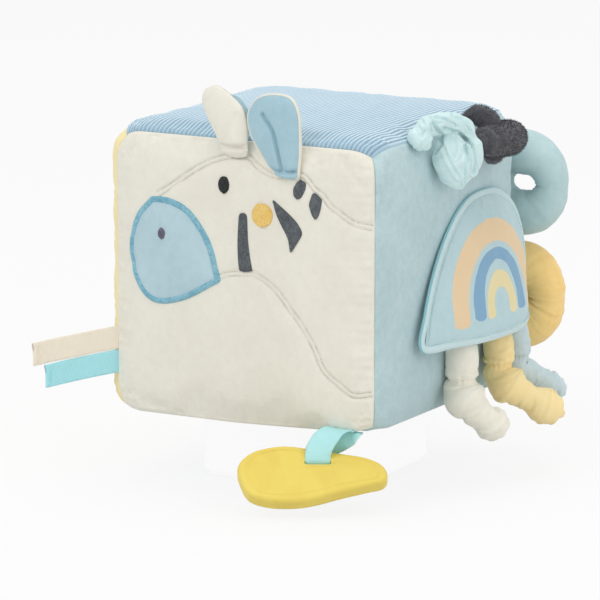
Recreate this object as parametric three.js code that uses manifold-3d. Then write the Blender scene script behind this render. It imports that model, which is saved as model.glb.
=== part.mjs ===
// Soft fabric activity block for a baby: a padded cube with a zebra face, a lift-up flap,
// knotted tails, stuffed rings, ribbon tags and a teether that hangs on a ribbon loop.
// Millimetres, +Z up. The origin is the middle of the flat base and the zebra looks along -Y.

import * as THREE from "three";
import { mergeVertices } from "three/addons/utils/BufferGeometryUtils.js";
import Module from "manifold-3d";

const wasm = await Module();
wasm.setup();

// Padded cube, measured from seam to seam
const blockWidth = 150;
const blockDepth = 150;
const blockHeight = 145;
const baseDrop = 3.5;
const shoulderRise = 3.5;
const shoulderWidth = 12;
const crownRise = 2.5;
const baseCut = 0.5;
const coverThickness = 1.6;
const seamGap = 0.25;
const clearance = 0.3;

// Filling and the rattle capsule in its pocket
const fillingGap = 0.4;
const rattleRadius = 20;
const rattleHalfHeight = 17;
const rattleWall = 1.5;
const rattleCorner = 6;
const rattleLip = 3;
const beadRadius = 3;
const beadCircle = 10;
const beadCount = 5;

// Zebra face: its outlines are shares of headSpan, from the middle of the front panel
const headSpan = 100;
const patchThickness = 0.9;
const satinThickness = 1.2;
const satinWidth = 2.3;
const nostrilWidth = 3.6;
const nostrilHeight = 5.2;
const eyeWidth = 6.4;
const eyeHeight = 8.6;
const cheekDiameter = 12;
const stripeWidth = 4.8;

// Ears
const earHeight = 44;
const earThickness = 7;
const earRim = 0.8;
const leftEarEase = 0.3;
const rightEarEase = 1;
const earLiningInset = 2.2;

// Lift-up flap on the right panel
const flapWidth = 104;
const flapHeight = 71;
const flapTop = 113;
const flapPlace = 10.5;
const flapLean = 17;
const flapStandOff = 22;
const flapSideStandOff = 7;
const flapTwist = 3;
const flapCloth = 1.2;
const flapFilm = 0.4;
const flapBinding = 2.1;

// Knotted tails under the flap
const tailRadius = 8.7;
const tailLength = 50;
const tailRoot = 52;
const tailCrease = 22;

// Stuffed rings at the seam of the back and right panels
const ringRadius = 16.2;
const ringTube = 12;
const tightRingRadius = 15;
const tightRingTube = 13.8;
const ringPlace = 76;
const ringHighShare = 0.7248;
const tightRingPlace = 73.5;
const ringLowShare = 0.3041;

// Knotted toggles in the seam of the top and right panels
const knotRadius = 5.6;
const knotSpan = 30;

// Ribbons and the teether
const tagWidth = 12;
const tagThickness = 1;
const tagHighLength = 45.5;
const tagLowLength = 40.5;
const tagHigh = 39.5;
const tagLow = 27;
const tagDroop = 5;
const loopWidth = 13;
const loopThickness = 0.9;
const loopPlace = 60;
const loopSide = 10.1;
const loopForward = 12.9;
const loopDrop = 15.2;
const teetherWidth = 73;
const teetherThickness = 9;
const teetherCorner = 1.8;
const slotWidth = 16;
const slotHeight = 5;
const teetherBar = 5.4;
const teetherYaw = 29;
const teetherSwing = 48;

const halfX = blockWidth / 2;
const halfY = blockDepth / 2;
const halfZ = blockHeight / 2;
const middleZ = baseDrop + halfZ;
const cutOverrun = 20;

const cloth = (color, roughness = 0.95) => new THREE.MeshStandardMaterial({ color, roughness, metalness: 0 });
const creamVelour = cloth("#e6e3d8");
const blueVelour = cloth("#c3d6dc");
const blueCorduroy = cloth("#b3cfe0");
const yellowVelour = cloth("#f0d590");
const mintVelour = cloth("#b0cdcd");
const charcoalVelour = cloth("#5a5a60");
const satinThread = cloth("#7fbcd0", 0.6);
const greyThread = cloth("#5f666b", 0.7);
const yellowThread = cloth("#e9c56c", 0.7);
const whiteFilling = cloth("#f4f4f0");
const beigeRibbon = cloth("#e8dfcb", 0.6);
const aquaRibbon = cloth("#8fd5d6", 0.6);
const clearFilm = cloth("#e8eef0", 0.3);
const whitePlastic = cloth("#f2f2ee", 0.4);
const redPlastic = cloth("#d98a6a", 0.4);
const yellowSilicone = cloth("#f0d96b", 0.45);

const block = new THREE.Group();

function addMesh(parent, name, geometry, material) {
  const mesh = new THREE.Mesh(geometry, material);
  mesh.name = name;
  parent.add(mesh);
  return mesh;
}

function addGroup(parent, x, y, z) {
  const group = new THREE.Group();
  group.position.set(x, y, z);
  parent.add(group);
  return group;
}

// Geometry helpers

function buildGeometry(positions, index) {
  const geometry = new THREE.BufferGeometry();
  geometry.setAttribute("position", new THREE.Float32BufferAttribute(positions, 3));
  geometry.setIndex(index);
  return geometry;
}

// A closed sheet between two grids of points: the first one faces outwards, the second inwards.
function closedGrid(front, back) {
  const columns = front.length;
  const rows = front[0].length;
  const positions = [front, back].flat(2).flatMap((point) => point.toArray());
  const index = [];
  const quad = (a, b, c, d) => index.push(a, b, c, a, c, d);
  const f = (i, j) => i * rows + j;
  const b = (i, j) => (columns + i) * rows + j;
  for (let i = 0; i + 1 < columns; i += 1) {
    for (let j = 0; j + 1 < rows; j += 1) {
      quad(f(i, j), f(i + 1, j), f(i + 1, j + 1), f(i, j + 1));
      quad(b(i, j), b(i, j + 1), b(i + 1, j + 1), b(i + 1, j));
    }
    quad(b(i, 0), b(i + 1, 0), f(i + 1, 0), f(i, 0));
    quad(b(i + 1, rows - 1), b(i, rows - 1), f(i, rows - 1), f(i + 1, rows - 1));
  }
  for (let j = 0; j + 1 < rows; j += 1) {
    quad(b(0, j + 1), b(0, j), f(0, j), f(0, j + 1));
    quad(b(columns - 1, j), b(columns - 1, j + 1), f(columns - 1, j + 1), f(columns - 1, j));
  }
  return buildGeometry(positions, index);
}

function plainGeometry(geometry) {
  const plain = geometry.clone();
  plain.deleteAttribute("normal");
  plain.deleteAttribute("uv");
  return mergeVertices(plain);
}

function solidOf(geometry) {
  const plain = plainGeometry(geometry);
  const vertProperties = plain.attributes.position.array;
  const triVerts = new Uint32Array(plain.index.array);
  return new wasm.Manifold(new wasm.Mesh({ numProp: 3, vertProperties, triVerts }));
}

function geometryOf(solid) {
  const { vertProperties, triVerts } = solid.getMesh();
  return buildGeometry(Array.from(vertProperties), Array.from(triVerts));
}

// A lathe solid about Z. Its profile runs upwards along the outside, from axis to axis.
function turned(profile, segments) {
  const points = profile.map(([radius, height]) => new THREE.Vector2(radius, height));
  const geometry = plainGeometry(new THREE.LatheGeometry(points, segments));
  geometry.rotateX(Math.PI / 2);
  return geometry;
}

// A smooth closed outline through hand-chosen shares of a span.
function smoothOutline(shares, span, count) {
  const points = shares.map(([x, y]) => new THREE.Vector3(x * span, y * span, 0));
  const curve = new THREE.CatmullRomCurve3(points, true);
  return curve.getPoints(count).slice(0, count).map((point) => new THREE.Vector2(point.x, point.y));
}

// The outline moved inwards by a distance. It runs anticlockwise, or is turned round first.
function insetOutline(outline, distance) {
  const ring = THREE.ShapeUtils.isClockWise(outline) ? [...outline].reverse() : outline;
  return ring.map((point, i) => {
    const before = ring[(i + ring.length - 1) % ring.length];
    const after = ring[(i + 1) % ring.length];
    const along = after.clone().sub(before).normalize();
    return new THREE.Vector2(point.x - along.y * distance, point.y + along.x * distance);
  });
}

function ovalOutline(width, height, count) {
  const ring = [];
  for (let i = 0; i < count; i += 1) {
    const turn = (2 * Math.PI * i) / count;
    ring.push(new THREE.Vector2((Math.cos(turn) * width) / 2, (Math.sin(turn) * height) / 2));
  }
  return ring;
}

function prismOf(outline, depth) {
  return new THREE.ExtrudeGeometry(new THREE.Shape(outline), { depth, bevelEnabled: false });
}

// A value read from a table of [share along the length, value], eased between its rows.
function readTable(table, share) {
  const next = table.findIndex(([at]) => at >= share);
  if (next <= 0) {
    return table[0][1];
  }
  const [fromAt, fromValue] = table[next - 1];
  const [toAt, toValue] = table[next];
  const part = (share - fromAt) / (toAt - fromAt);
  return fromValue + (toValue - fromValue) * part * part * (3 - 2 * part);
}

// A stuffed tube that swells and tapers along a curve, closed at both ends.
function stuffedTube(points, radius, swellShares, steps, sides) {
  const curve = new THREE.CatmullRomCurve3(points);
  const frames = curve.computeFrenetFrames(steps, false);
  const positions = [];
  const index = [];
  for (let i = 0; i <= steps; i += 1) {
    const centre = curve.getPointAt(i / steps);
    const reach = radius * readTable(swellShares, i / steps);
    for (let k = 0; k < sides; k += 1) {
      const turn = (2 * Math.PI * k) / sides;
      const out = frames.normals[i].clone().multiplyScalar(Math.cos(turn) * reach);
      out.addScaledVector(frames.binormals[i], Math.sin(turn) * reach);
      positions.push(...out.add(centre).toArray());
    }
  }
  const at = (i, k) => i * sides + (k % sides);
  for (let i = 0; i < steps; i += 1) {
    for (let k = 0; k < sides; k += 1) {
      index.push(at(i, k), at(i, k + 1), at(i + 1, k + 1), at(i, k), at(i + 1, k + 1), at(i + 1, k));
    }
  }
  const first = positions.length / 3;
  positions.push(...curve.getPointAt(0).toArray(), ...curve.getPointAt(1).toArray());
  for (let k = 0; k < sides; k += 1) {
    index.push(first, at(0, k + 1), at(0, k), first + 1, at(steps, k), at(steps, k + 1));
  }
  return buildGeometry(positions, index);
}

// A ribbon along a path. Each point carries the direction of the ribbon's width.
function ribbonStrip(path, width, thickness) {
  const front = [];
  const back = [];
  path.forEach(({ point, across }, i) => {
    const before = path[Math.max(i - 1, 0)].point;
    const after = path[Math.min(i + 1, path.length - 1)].point;
    const along = after.clone().sub(before).normalize();
    const side = across.clone().normalize();
    const out = new THREE.Vector3().crossVectors(along, side).normalize();
    const row = (depth) => [-1, 1].map((end) => {
      const corner = point.clone().addScaledVector(side, (end * width) / 2);
      return corner.addScaledVector(out, (depth * thickness) / 2);
    });
    front.push(row(1));
    back.push(row(-1));
  });
  return closedGrid(front, back);
}

// Cover panels: each lies in its own plane, u to the right, v up and w outwards

const panelKnotShares = [0, 0.01, 0.03, 0.08, 0.2, 0.35, 0.5, 0.65, 0.8, 0.92, 0.97, 0.99, 1];
const fillingKnotShares = [0, 0.03, 0.08, 0.35, 0.65, 0.92, 0.97, 1];
const sideCrown = { crown: crownRise, limit: shoulderRise + crownRise };
const baseCrown = { crown: baseCut, limit: baseDrop };
const frontPanel = { halfU: halfX, halfV: halfZ, reach: halfY, ...sideCrown };
const sidePanel = { halfU: halfY, halfV: halfZ, reach: halfX, ...sideCrown };
const topPanel = { halfU: halfX, halfV: halfY, reach: halfZ, ...sideCrown };
const basePanel = { halfU: halfX, halfV: halfY, reach: halfZ, ...baseCrown };

function shoulderShare(distance) {
  const left = THREE.MathUtils.clamp(1 - distance / shoulderWidth, 0, 1);
  return Math.sqrt(1 - left * left);
}

// How far a panel stands out from the plane of its seams.
function panelRise(panel, shareU, shareV) {
  const fromSideSeam = Math.min(shareU, 1 - shareU) * 2 * panel.halfU;
  const fromEndSeam = Math.min(shareV, 1 - shareV) * 2 * panel.halfV;
  const shoulder = shoulderRise * shoulderShare(fromSideSeam) * shoulderShare(fromEndSeam);
  const crown = panel.crown * 16 * shareU * (1 - shareU) * shareV * (1 - shareV);
  return Math.min(shoulder + crown, panel.limit);
}

function panelGrid(panel, knotShares, depth, inset) {
  return knotShares.map((shareU) => knotShares.map((shareV) => new THREE.Vector3(
    (2 * shareU - 1) * (panel.halfU - inset),
    (2 * shareV - 1) * (panel.halfV - inset),
    panel.reach + depth + panelRise(panel, shareU, shareV),
  )));
}

function coverGeometry(panel) {
  const outside = panelGrid(panel, panelKnotShares, 0, seamGap);
  const inside = panelGrid(panel, panelKnotShares, -coverThickness, seamGap + coverThickness);
  return closedGrid(outside, inside);
}

// A thin layer that lies on a panel's cloth, between two distances from it.
function layerOver(panel, low, high) {
  const outside = panelGrid(panel, panelKnotShares, high, seamGap);
  const inside = panelGrid(panel, panelKnotShares, low, seamGap);
  return solidOf(closedGrid(outside, inside));
}

// Upright panels turn about Z, then lean up from the ground plane to face outwards.
function uprightFace(turns) {
  const heading = addGroup(block, 0, 0, middleZ);
  heading.rotation.z = (turns * Math.PI) / 2;
  const face = addGroup(heading, 0, 0, 0);
  face.rotation.x = Math.PI / 2;
  return face;
}

const frontFace = uprightFace(0);
const rightFace = uprightFace(1);
const backFace = uprightFace(2);
const leftFace = uprightFace(3);
const topFace = addGroup(block, 0, 0, middleZ);
const baseFace = addGroup(block, 0, 0, middleZ);
baseFace.rotation.x = Math.PI;

addMesh(frontFace, "front_cover", coverGeometry(frontPanel), creamVelour);
addMesh(rightFace, "right_cover", coverGeometry(sidePanel), blueVelour);
addMesh(backFace, "back_cover", coverGeometry(frontPanel), blueVelour);
addMesh(leftFace, "left_cover", coverGeometry(sidePanel), yellowVelour);
addMesh(topFace, "top_cover", coverGeometry(topPanel), blueCorduroy);
addMesh(baseFace, "base_cover", coverGeometry(basePanel), blueVelour);

// Filling: one crowned block, parted at its middle, round a pocket for the rattle

function fillingFace(panel, turn) {
  const shrink = coverThickness + fillingGap;
  const small = { ...panel, halfU: panel.halfU - shrink, halfV: panel.halfV - shrink };
  small.reach = panel.reach - shrink;
  const grid = panelGrid(small, fillingKnotShares, 0, 0);
  const positions = [];
  for (let i = 0; i + 1 < grid.length; i += 1) {
    for (let j = 0; j + 1 < grid.length; j += 1) {
      const corners = [grid[i][j], grid[i + 1][j], grid[i + 1][j + 1], grid[i][j + 1]];
      for (const k of [0, 1, 2, 0, 2, 3]) {
        positions.push(...corners[k].clone().applyEuler(turn).toArray());
      }
    }
  }
  return positions;
}

function fillingSolid() {
  const quarter = Math.PI / 2;
  const upright = (turns) => new THREE.Euler(quarter, 0, turns * quarter, "ZYX");
  const positions = [
    ...fillingFace(frontPanel, upright(0)),
    ...fillingFace(sidePanel, upright(1)),
    ...fillingFace(frontPanel, upright(2)),
    ...fillingFace(sidePanel, upright(3)),
    ...fillingFace(topPanel, new THREE.Euler(0, 0, 0)),
    ...fillingFace(basePanel, new THREE.Euler(2 * quarter, 0, 0)),
  ];
  const geometry = new THREE.BufferGeometry();
  geometry.setAttribute("position", new THREE.Float32BufferAttribute(positions, 3));
  return solidOf(mergeVertices(geometry, clearance / 10));
}

function capsuleProfile(radius, halfHeight, corner) {
  return [
    [0, -halfHeight],
    [radius - corner, -halfHeight],
    [radius, corner - halfHeight],
    [radius, halfHeight - corner],
    [radius - corner, halfHeight],
    [0, halfHeight],
  ];
}

const filling = addGroup(block, 0, 0, middleZ);
const pocketRadius = rattleRadius + fillingGap;
const pocketHalfHeight = rattleHalfHeight + fillingGap;
const pocket = solidOf(turned(capsuleProfile(pocketRadius, pocketHalfHeight, rattleCorner), 20));
const hollowFilling = fillingSolid().subtract(pocket);
const halfBox = new THREE.BoxGeometry(2 * blockWidth, 2 * blockDepth, blockHeight);
halfBox.translate(0, 0, (blockHeight + clearance) / 2);
const upperHalf = solidOf(halfBox);
halfBox.translate(0, 0, -blockHeight - clearance);
const lowerHalf = solidOf(halfBox);
addMesh(filling, "filling_upper", geometryOf(hollowFilling.intersect(upperHalf)), whiteFilling);
addMesh(filling, "filling_lower", geometryOf(hollowFilling.intersect(lowerHalf)), whiteFilling);

// Rattle capsule: two cups, the upper one with a lip that fits inside the lower one

const innerRadius = rattleRadius - rattleWall;
const innerHeight = rattleHalfHeight - rattleWall;
const lipRadius = innerRadius - clearance;
const seatHeight = clearance / 2;
const lowerCup = turned([
  [0, -rattleHalfHeight],
  [rattleRadius - rattleCorner, -rattleHalfHeight],
  [rattleRadius, rattleCorner - rattleHalfHeight],
  [rattleRadius, -seatHeight],
  [innerRadius, -seatHeight],
  [innerRadius, rattleCorner - rattleHalfHeight],
  [innerRadius - rattleCorner, -innerHeight],
  [0, -innerHeight],
], 20);
const upperCup = turned([
  [0, innerHeight],
  [innerRadius - rattleCorner, innerHeight],
  [lipRadius - rattleWall, rattleHalfHeight - rattleCorner],
  [lipRadius - rattleWall, -rattleLip],
  [lipRadius, -rattleLip],
  [lipRadius, seatHeight],
  [rattleRadius, seatHeight],
  [rattleRadius, rattleHalfHeight - rattleCorner],
  [rattleRadius - rattleCorner, rattleHalfHeight],
  [0, rattleHalfHeight],
], 20);
addMesh(filling, "rattle_cup_lower", lowerCup, whitePlastic);
addMesh(filling, "rattle_cup_upper", upperCup, whitePlastic);
const beadFloor = clearance + beadRadius - innerHeight;
for (let i = 0; i < beadCount; i += 1) {
  const turn = (2 * Math.PI * i) / beadCount;
  const bead = new THREE.IcosahedronGeometry(beadRadius, 1);
  const mesh = addMesh(filling, `rattle_bead_${i + 1}`, plainGeometry(bead), redPlastic);
  mesh.position.set(Math.cos(turn) * beadCircle, Math.sin(turn) * beadCircle, beadFloor);
}

// Zebra face on the front panel: a muzzle patch and satin-stitched shapes

const muzzleShares = [
  [-0.512, 0.405], [-0.399, 0.402], [-0.295, 0.362], [-0.211, 0.279], [-0.146, 0.171], [-0.1, 0],
  [-0.166, -0.038], [-0.298, -0.109], [-0.421, -0.145], [-0.497, -0.145], [-0.563, -0.11],
  [-0.624, -0.016], [-0.652, 0.099], [-0.642, 0.199], [-0.598, 0.311],
];
const longStripeShares = [[0.03, 0.341], [0.032, 0.207], [0.046, 0.071]];
const stripeOutlineShares = {
  middle: [
    [0.198, 0.449], [0.28, 0.389], [0.343, 0.336], [0.372, 0.29],
    [0.303, 0.181], [0.294, 0.252], [0.271, 0.296], [0.226, 0.366],
  ],
  upper: [[0.359, 0.561], [0.382, 0.535], [0.336, 0.457], [0.309, 0.504]],
  rear: [[0.423, 0.505], [0.471, 0.473], [0.464, 0.412], [0.441, 0.365], [0.409, 0.423]],
};
const nostrilShare = new THREE.Vector2(-0.452, 0.216);
const eyeShare = new THREE.Vector2(-0.085, 0.499);
const cheekShare = new THREE.Vector2(0.141, 0.363);

const panelTop = halfY + shoulderRise + crownRise + cutOverrun;
const patchLayer = layerOver(frontPanel, clearance, clearance + patchThickness);
const satinLayer = layerOver(frontPanel, clearance, clearance + satinThickness);
const nostrilLow = 2 * clearance + patchThickness;
const nostrilLayer = layerOver(frontPanel, nostrilLow, nostrilLow + satinThickness);

function addStitched(name, layer, outline, material, hole) {
  let prism = solidOf(prismOf(outline, panelTop));
  if (hole) {
    prism = prism.subtract(solidOf(prismOf(hole, panelTop)));
  }
  addMesh(frontFace, name, geometryOf(layer.intersect(prism)), material);
}

function placedOval(width, height, share, count) {
  const centre = share.clone().multiplyScalar(headSpan);
  return ovalOutline(width, height, count).map((point) => point.add(centre));
}

const muzzleOutline = smoothOutline(muzzleShares, headSpan, 36);
const muzzleInside = insetOutline(muzzleOutline, satinWidth);
const muzzlePatch = insetOutline(muzzleOutline, satinWidth + clearance);
addStitched("muzzle_border", satinLayer, muzzleOutline, satinThread, muzzleInside);
addStitched("muzzle_patch", patchLayer, muzzlePatch, blueVelour);
addStitched("nostril", nostrilLayer, placedOval(nostrilWidth, nostrilHeight, nostrilShare, 10), greyThread);
addStitched("eye", satinLayer, placedOval(eyeWidth, eyeHeight, eyeShare, 12), greyThread);
addStitched("cheek_dot", satinLayer, placedOval(cheekDiameter, cheekDiameter, cheekShare, 14), yellowThread);

// The long stripe has one width along a bowed middle line.
function barOutline(shares, span, width, steps) {
  const points = shares.map(([x, y]) => new THREE.Vector3(x * span, y * span, 0));
  const curve = new THREE.CatmullRomCurve3(points);
  const sides = [-1, 1].map((side) => {
    const edge = [];
    for (let i = 0; i <= steps; i += 1) {
      const point = curve.getPointAt(i / steps);
      const along = curve.getTangentAt(i / steps);
      const shift = (side * width) / 2;
      edge.push(new THREE.Vector2(point.x - along.y * shift, point.y + along.x * shift));
    }
    return edge;
  });
  return [...sides[0], ...sides[1].reverse()];
}

addStitched("stripe_front", satinLayer, barOutline(longStripeShares, headSpan, stripeWidth, 4), greyThread);
for (const [name, shares] of Object.entries(stripeOutlineShares)) {
  const outline = shares.map(([x, y]) => new THREE.Vector2(x * headSpan, y * headSpan));
  addStitched(`stripe_${name}`, satinLayer, outline, greyThread);
}

// Ears: two half pillows, back to back, that stand on the front panel

const leftEarShares = [
  [-0.1, 0], [-0.2, 0.2], [-0.31, 0.4], [-0.39, 0.58], [-0.35, 0.74], [-0.2, 0.79],
  [-0.02, 0.7], [0.14, 0.56], [0.2, 0.36], [0.2, 0.16], [0.17, 0],
];
const rightEarShares = [
  [-0.1, 0.04], [-0.3, 0.28], [-0.44, 0.5], [-0.47, 0.7], [-0.38, 0.88], [-0.2, 0.97],
  [0.1, 0.95], [0.2, 0.8], [0.23, 0.5], [0.22, 0.2], [0.17, 0],
];
const leftEarPlace = new THREE.Vector2(-0.04 * headSpan, 0.9007 * halfZ);
const rightEarPlace = new THREE.Vector2(0.262 * headSpan, 0.7683 * halfZ);
const earBackShare = 0.6;
const pillowRingShares = [1, 0.84, 0.55, 0.25];
const pillowRiseShares = [0, 0.55, 0.88, 1];

// Half a pillow over an outline: flat below, swelling from a thin rim to its middle.
function halfPillow(outline, rim, rise) {
  const ring = THREE.ShapeUtils.isClockWise(outline) ? [...outline].reverse() : outline;
  const count = ring.length;
  const middle = new THREE.Vector2();
  ring.forEach((point) => middle.addScaledVector(point, 1 / count));
  const positions = [];
  const pushRing = (share, height) => ring.forEach((point) => {
    const at = middle.clone().lerp(point, share);
    positions.push(at.x, at.y, height);
  });
  pushRing(1, 0);
  pillowRingShares.forEach((share, i) => pushRing(share, rim + (rise - rim) * pillowRiseShares[i]));
  const levels = pillowRingShares.length + 1;
  const floor = levels * count;
  positions.push(middle.x, middle.y, 0, middle.x, middle.y, rise);
  const index = [];
  for (let i = 0; i < count; i += 1) {
    const next = (i + 1) % count;
    for (let k = 0; k + 1 < levels; k += 1) {
      const low = k * count;
      const high = low + count;
      index.push(low + i, low + next, high + next, low + i, high + next, high + i);
    }
    index.push(floor, next, i, floor + 1, (levels - 1) * count + i, (levels - 1) * count + next);
  }
  return buildGeometry(positions, index);
}

function addEar(name, shares, place, ease, liningFacesOut) {
  const outline = smoothOutline(shares, earHeight, 20);
  const lining = insetOutline(outline, earLiningInset);
  const rise = panelRise(frontPanel, 0.5 + place.x / blockWidth, 0.5 + place.y / blockHeight);
  const seat = halfY + rise + clearance + earRim + ease;
  const ear = addGroup(frontFace, place.x, place.y, seat);
  const swell = earThickness / (1 + earBackShare);
  const outer = halfPillow(outline, earRim, liningFacesOut ? swell * earBackShare : swell);
  const inner = halfPillow(lining, earRim, liningFacesOut ? swell : swell * earBackShare);
  const front = liningFacesOut ? inner : outer;
  const back = liningFacesOut ? outer : inner;
  front.translate(0, 0, clearance / 2);
  back.scale(1, 1, -1);
  back.index.array.reverse();
  back.translate(0, 0, -clearance / 2);
  addMesh(ear, `${name}_outer`, outer, creamVelour);
  addMesh(ear, `${name}_lining`, inner, blueVelour);
}

addEar("ear_left", leftEarShares, leftEarPlace, leftEarEase, false);
addEar("ear_right", rightEarShares, rightEarPlace, rightEarEase, true);

// Lift-up flap: backing, crinkle film and front panel inside a satin binding

const flapArchPower = 2.3;
const flapBulgePower = 2.6;
const flapSwellPower = 0.75;
const flapRowShares = [0.015, 0.07, 0.17, 0.32, 0.52, 0.76, 1];
const flapColumnShares = [-1, -0.72, -0.4, 0, 0.4, 0.72, 1];
const flapThickness = 2 * flapCloth + flapFilm + 2 * clearance;
const flapTopShares = { u: 0.5 + flapPlace / blockDepth, v: (flapTop - baseDrop) / blockHeight };
const flapWall = halfX + panelRise(sidePanel, flapTopShares.u, flapTopShares.v);
const flapSeat = flapWall + clearance + flapBinding - flapThickness / 2;

function flapHalfWidth(share) {
  return (flapWidth / 2) * (1 - (1 - share) ** flapArchPower) ** (1 / flapArchPower);
}

// A point of the flap: across from -1 to 1, down from 0 to 1, and depth out from its inner face.
function flapPoint(across, down, depth, inset = 0) {
  const half = Math.max(flapHalfWidth(down) - inset, inset);
  const bulge = (flapStandOff - flapSideStandOff) * (1 - Math.abs(across) ** flapBulgePower);
  const standOff = down ** flapSwellPower * (flapSideStandOff + bulge + flapTwist * across);
  const drop = Math.min(down * flapHeight + inset * (1 - down), flapHeight - inset);
  return new THREE.Vector3(standOff + depth, flapLean * (1 - down) + across * half, -drop);
}

function flapLayer(low, high) {
  const inset = flapBinding + clearance;
  const grid = (depth) => flapColumnShares.map((across) => (
    flapRowShares.map((down) => flapPoint(across, 1 - down + flapRowShares[0], depth, inset))
  ));
  return closedGrid(grid(high), grid(low));
}

const flap = addGroup(block, flapSeat, flapPlace, flapTop);
const flapFilmLow = flapCloth + clearance;
const flapFrontLow = flapFilmLow + flapFilm + clearance;
addMesh(flap, "flap_backing", flapLayer(0, flapCloth), aquaRibbon);
addMesh(flap, "flap_film", flapLayer(flapFilmLow, flapFilmLow + flapFilm), clearFilm);
addMesh(flap, "flap_front", flapLayer(flapFrontLow, flapFrontLow + flapCloth), blueVelour);

function flapEdge() {
  const left = flapRowShares.map((down) => flapPoint(-1, down, flapThickness / 2));
  const right = flapRowShares.map((down) => flapPoint(1, down, flapThickness / 2));
  const lower = flapColumnShares.slice(1, -1).map((across) => flapPoint(across, 1, flapThickness / 2));
  return [...left, ...lower, ...right.reverse()];
}

const edgeSection = new THREE.Shape(ovalOutline(2 * flapBinding, 2 * flapBinding, 6));
const edgePath = new THREE.CatmullRomCurve3(flapEdge(), true, "centripetal");
const bindingGeometry = plainGeometry(new THREE.ExtrudeGeometry(edgeSection, {
  steps: 36,
  bevelEnabled: false,
  extrudePath: edgePath,
}));
addMesh(flap, "flap_binding", bindingGeometry, satinThread);

// Knotted tails: an upper tube sewn under the flap and a lower one that bends at its crease

const upperSwellShares = [[0, 0.35], [0.12, 0.72], [0.5, 1], [0.9, 0.96], [1, 0.8]];
const tails = [
  {
    name: "cream",
    material: cloth("#dddace"),
    placeShare: -0.053,
    sizeShare: 1,
    pathShares: [[0, 0, 0], [0, 0, -0.08], [0.06, 0, -0.22], [0.16, 0.09, -0.37], [0.27, 0.2, -0.5], [0.33, 0.27, -0.6]],
    swellShares: [[0, 0.8], [0.08, 1.05], [0.28, 1.3], [0.52, 1], [0.76, 1.12], [0.92, 0.85], [1, 0.3]],
  },
  {
    name: "yellow",
    material: cloth("#edd58f"),
    placeShare: 0.207,
    sizeShare: 0.94,
    pathShares: [[0, 0, 0], [0, 0, -0.08], [0.1, 0.02, -0.2], [0.27, 0.12, -0.32], [0.45, 0.3, -0.46], [0.58, 0.42, -0.54]],
    swellShares: [[0, 0.8], [0.08, 1], [0.27, 1.3], [0.5, 0.95], [0.75, 1.2], [0.92, 0.95], [1, 0.3]],
  },
  {
    name: "blue",
    material: cloth("#c5d6dc"),
    placeShare: 0.345,
    sizeShare: 0.86,
    pathShares: [[0, 0, 0], [0, 0, -0.1], [0.1, 0.13, -0.19], [0.21, 0.28, -0.28], [0.32, 0.4, -0.38], [0.37, 0.48, -0.44]],
    swellShares: [[0, 0.8], [0.1, 0.95], [0.3, 1], [0.52, 0.8], [0.76, 0.95], [0.93, 0.7], [1, 0.3]],
  },
];

function addTail({ name, material, placeShare, sizeShare, pathShares, swellShares }) {
  const radius = tailRadius * sizeShare;
  const rise = panelRise(sidePanel, 0.5 + placeShare, (tailRoot - baseDrop) / blockHeight);
  const hang = addGroup(block, halfX + rise + clearance + radius, placeShare * blockDepth, 0);
  const top = new THREE.Vector3(-radius / 2, 0, tailRoot);
  const bend = new THREE.Vector3(0, 0, (tailRoot + tailCrease) / 2);
  const crease = new THREE.Vector3(0, 0, tailCrease + clearance);
  const upper = stuffedTube([top, bend, crease], radius, upperSwellShares, 7, 10);
  addMesh(hang, `tail_${name}_upper`, upper, material);
  const path = pathShares.map(([x, y, z]) => (
    new THREE.Vector3(x * tailLength, y * tailLength, tailCrease + z * tailLength)
  ));
  const lower = stuffedTube(path, radius, swellShares, 12, 10);
  addMesh(hang, `tail_${name}_lower`, lower, material);
}

tails.forEach(addTail);

// Stuffed rings, each drawn in where the two ends of its tube are sewn together

const ringSteps = 24;
const ringSideShare = 0.24;
const ringDrawShare = 0.1;
const ringDrawTurn = -0.06;

function ringReach(tube, turn) {
  const fromDraw = Math.atan2(Math.sin(turn - ringDrawTurn), Math.cos(turn - ringDrawTurn));
  const drawn = ringDrawShare * Math.exp(-ringSteps * fromDraw * fromDraw);
  return tube * (1 - drawn) * (1 - ringSideShare * Math.cos(turn) ** 2);
}

function stuffedRing(radius, tube, sides) {
  const positions = [];
  const index = [];
  const at = (i, k) => (i % ringSteps) * sides + (k % sides);
  for (let i = 0; i < ringSteps; i += 1) {
    const turn = (2 * Math.PI * i) / ringSteps;
    const reach = ringReach(tube, turn);
    for (let k = 0; k < sides; k += 1) {
      const around = (2 * Math.PI * k) / sides;
      const out = radius + reach * Math.cos(around);
      positions.push(Math.cos(turn) * out, reach * Math.sin(around), Math.sin(turn) * out);
      index.push(at(i, k), at(i, k + 1), at(i + 1, k + 1), at(i, k), at(i + 1, k + 1), at(i + 1, k));
    }
  }
  return buildGeometry(positions, index);
}

// A ring lies against the back panel: its furthest reach towards the panel sets its place.
function ringSeat(place, height, radius, tube) {
  let furthest = 0;
  for (let i = 0; i < ringSteps; i += 1) {
    const turn = (2 * Math.PI * i) / ringSteps;
    const shareU = 0.5 + (place + Math.cos(turn) * radius) / blockWidth;
    const shareV = (height + Math.sin(turn) * radius - baseDrop) / blockHeight;
    if (shareU < 1) {
      furthest = Math.max(furthest, panelRise(frontPanel, shareU, shareV) + ringReach(tube, turn));
    }
  }
  return halfY + furthest + clearance;
}

function addRing(name, place, height, radius, tube, material) {
  const mesh = addMesh(block, name, stuffedRing(radius, tube, 10), material);
  mesh.position.set(place, ringSeat(place, height, radius, tube), height);
}

const ringHigh = baseDrop + ringHighShare * blockHeight;
const ringLow = baseDrop + ringLowShare * blockHeight;
addRing("ring_mint", ringPlace, ringHigh, ringRadius, ringTube, mintVelour);
addRing("ring_yellow", tightRingPlace, ringLow, tightRingRadius, tightRingTube, yellowVelour);

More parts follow.
